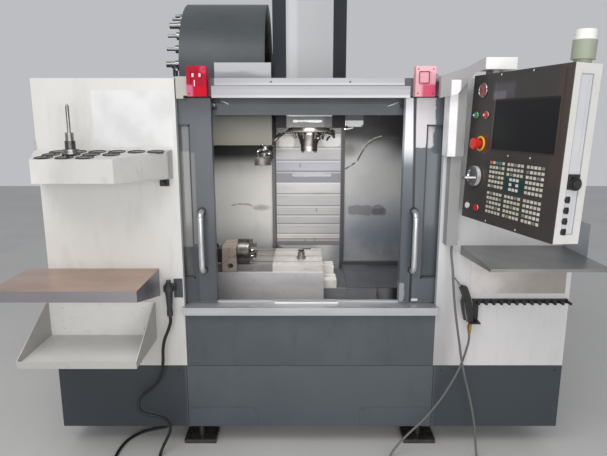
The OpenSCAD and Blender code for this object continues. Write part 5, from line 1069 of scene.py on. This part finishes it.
# Plug of the rotary unit and pin of the probe, which ride on the table
q = Piece("table_fittings", "table")
q.rod((-0.4155, -0.5612, 0.7445), (-0.4155, -0.559, 0.7445), 0.011, "black")
q.rod((-0.034, -0.3785, 0.7925), (0.012, -0.3785, 0.7925), 0.0035, "black")
q.done(0.0006)

# Studs of the chuck, which turn with it
q = Piece("chuck_studs", BODY["rotary_chuck"])
for z in (0.826, 0.795):
    q.rod((-0.312, -0.545, z), (-0.3, -0.545, z), 0.004, "chrome")
q.done(0.0006)

# Cover on the saddle's front, level with the deck at its right
DECK_TOP, COVER_FRONT = 0.6045, -0.519
q = Piece("saddle_cover", "saddle")
q.box((0.0765, COVER_FRONT, 0.545), (0.209, -0.5168, DECK_TOP), "deck_front")
q.box((0.0765, COVER_FRONT - 0.0006, DECK_TOP), (0.209, -0.5168, 0.6062), "trim")
q.box((0.0765, COVER_FRONT, 0.6065), (0.1498, -0.5168, 0.6497), "saddle_paint")
q.box((0.1505, -0.5165, DECK_TOP), (0.209, -0.13, 0.606), "deck")
q.done()

# Bright edge of the deck, and a painted highlight along the sill's edge
for name, lo, hi, key in (
    ("deck_edge", (0.211, -0.5212, 0.604), (0.369, -0.519, 0.6058), "trim"),
    ("sill_edge", (-0.16, -1.0215, 0.6955), (0.126, -1.0195, 0.7035), "lamp"),
):
    q = Piece(name)
    q.box(lo, hi, key)
    q.done()

# Tool tray: a rim round each hole of its sloping top, and a dark disc down each hole where no tool stands,
# painted shade for its inside
TRAY_SLOPE = math.radians(6.5)
TRAY_UP = (0, -math.sin(TRAY_SLOPE), math.cos(TRAY_SLOPE))
TRAY_FRONT, TRAY_FRONT_TOP = reach("tool_tray", Y, min), 1.36
HOLE_R, HOLE_PITCH, ROW_PITCH = 0.033, 0.08, 0.065
FIRST_HOLE_X, FIRST_HOLE_Y = -1.035, -1.105
TOOL_HOLE = (1, 1)
q = Piece("tray_hole_rims")
for row, cols in enumerate((6, 4, 3)):
    for col in range(cols):
        x, y = FIRST_HOLE_X + col * HOLE_PITCH, FIRST_HOLE_Y - row * ROW_PITCH
        z = TRAY_FRONT_TOP + (y - TRAY_FRONT) * math.tan(TRAY_SLOPE)
        q.ring((x, y, z + 0.0005), TRAY_UP, HOLE_R + 0.0005, 0.0016, "black", 32, 6)
        if (row, col) != TOOL_HOLE:
            # A dark disc as painted shade inside the hole
            q.rod((x, y, z - 0.004), (x, y, z - 0.003), HOLE_R, "hole", sides=32)
q.done()

# Plate over the place where the tray's last hole runs out through its front
CHAMFER = Matrix.Rotation(math.radians(45.5), 4, "Z")
q = Piece("tray_patch", BODY["tool_tray"])
q.box((-0.6958, -1.1486, 1.2725), (-0.5758, -1.1474, 1.3725), "tray_paint", CHAMFER)
q.done()

# Pendant: yellow ring of the stop, rims of the buttons with a painted highlight on two of them, and the bare
# badge
PANEL_W, PANEL_H = 0.54, 0.56
BUTTONS_U, BUTTONS_V = (0.077, 0.204), 0.728
BADGE = (0.13, 0.895)


def spot(u, v, y):
    """A place on the panel, by shares u and v of its width and height."""
    return Vector(((u - 0.5) * PANEL_W, y, (v - 0.5) * PANEL_H))


q = Piece("pendant_rings", "pendant", PENDANT)
q.ring(spot(0.168, 0.534, -0.004), BACK, 0.025, 0.0045, "yellow")
for u, v in (*((u, BUTTONS_V) for u in BUTTONS_U), (0.079, 0.09), (0.192, 0.09)):
    q.ring(spot(u, v, -0.0035), BACK, 0.0133, 0.0018, "chrome", 24, 6)
q.ring(spot(*BADGE, -0.003), BACK, 0.0262, 0.0024, "chrome")
q.rod(spot(*BADGE, -0.0035), spot(*BADGE, -0.001), 0.0245, "disc_red")
# Painted highlights: a white dot on each of the two buttons
for u in BUTTONS_U:
    q.rod(spot(u - 0.016, BUTTONS_V, -0.0101), spot(u - 0.016, BUTTONS_V, -0.0085), 0.0045, "cap_white")
q.done()

# Strip along the pendant's right side with its four ports and a knob
STRIP_FACE = 0.267
KNOB_Y, KNOB_Z = 0.052, -0.086
q = Piece("pendant_strip", "pendant", PENDANT)
q.box((0.262, 0.031, -0.246), (0.2682, 0.071, 0.246), "light_grey")
q.box((0.2678, 0.058, -0.236), (0.2686, 0.06, 0.236), "post_right")
for k in range(4):
    z = -0.137 - 0.0345 * k
    q.rod((STRIP_FACE, 0.036, z), (0.2725, 0.036, z), 0.0105, "port_dark")
    q.box((STRIP_FACE, 0.036, z - 0.0105), (0.2725, 0.045, z + 0.0105), "port_dark")
q.rod((0.266, KNOB_Y, KNOB_Z), (0.282, KNOB_Y, KNOB_Z), 0.021, "black")
q.rod((0.281, KNOB_Y, KNOB_Z), (0.286, KNOB_Y, KNOB_Z), 0.013, "steel_dark")
q.box((STRIP_FACE, 0.03, -0.066), (0.274, 0.07, -0.056), "port_dark")
q.box((STRIP_FACE, 0.03, -0.104), (0.276, 0.036, -0.056), "port_dark")
q.done(0.0006)

# Stage and light
FLOOR_HALF = 9
corners = [(x * FLOOR_HALF, y * FLOOR_HALF, 0) for x, y in ((-1, -1), (1, -1), (1, 1), (-1, 1))]
floor = bpy.data.meshes.new("floor")
floor.from_pydata(corners, [], [(0, 1, 2, 3)])
floor.materials.append(plain("floor", (196, 195, 193), 0.6, spec=0.2, amount=0.1, scale=1.5).mat)
put("floor", floor)

world = bpy.data.worlds.new("world")
world.use_nodes = True
SCENE.world = world
sky = world.node_tree.nodes["Background"].inputs
sky["Color"].default_value = (*lin((214, 216, 220)), 1)
sky["Strength"].default_value = 0.75


def light(name, at, to, size, power, colour):
    data = bpy.data.lights.new(name, "AREA")
    data.shape = "RECTANGLE"
    data.size, data.size_y = size
    data.energy = power
    data.color = colour
    obj = put(name, data)
    obj.location = at
    obj.rotation_euler = (Vector(to) - Vector(at)).to_track_quat("-Z", "Y").to_euler()
    return obj


WARM = (1.0, 0.99, 0.97)
light("key", (-1.4, -3.4, 4.2), (-0.1, -0.8, 1.2), (3.4, 2.0), 80, WARM)
light("front", (0.2, -4.2, 1.2), (0.1, -1.0, 0.95), (3.6, 1.6), 54, (1.0, 1.0, 1.0))

# A strip of light behind the header, which the camera doesn't see
room = light("room", (-0.05, -0.9, 1.515), (-0.05, -0.16, 0.8), (0.9, 0.1), 4.9, WARM)
room.data.spread = math.radians(96)
room.visible_camera = False

SCENE.view_settings.view_transform = "Standard"
SCENE.view_settings.look = "None"
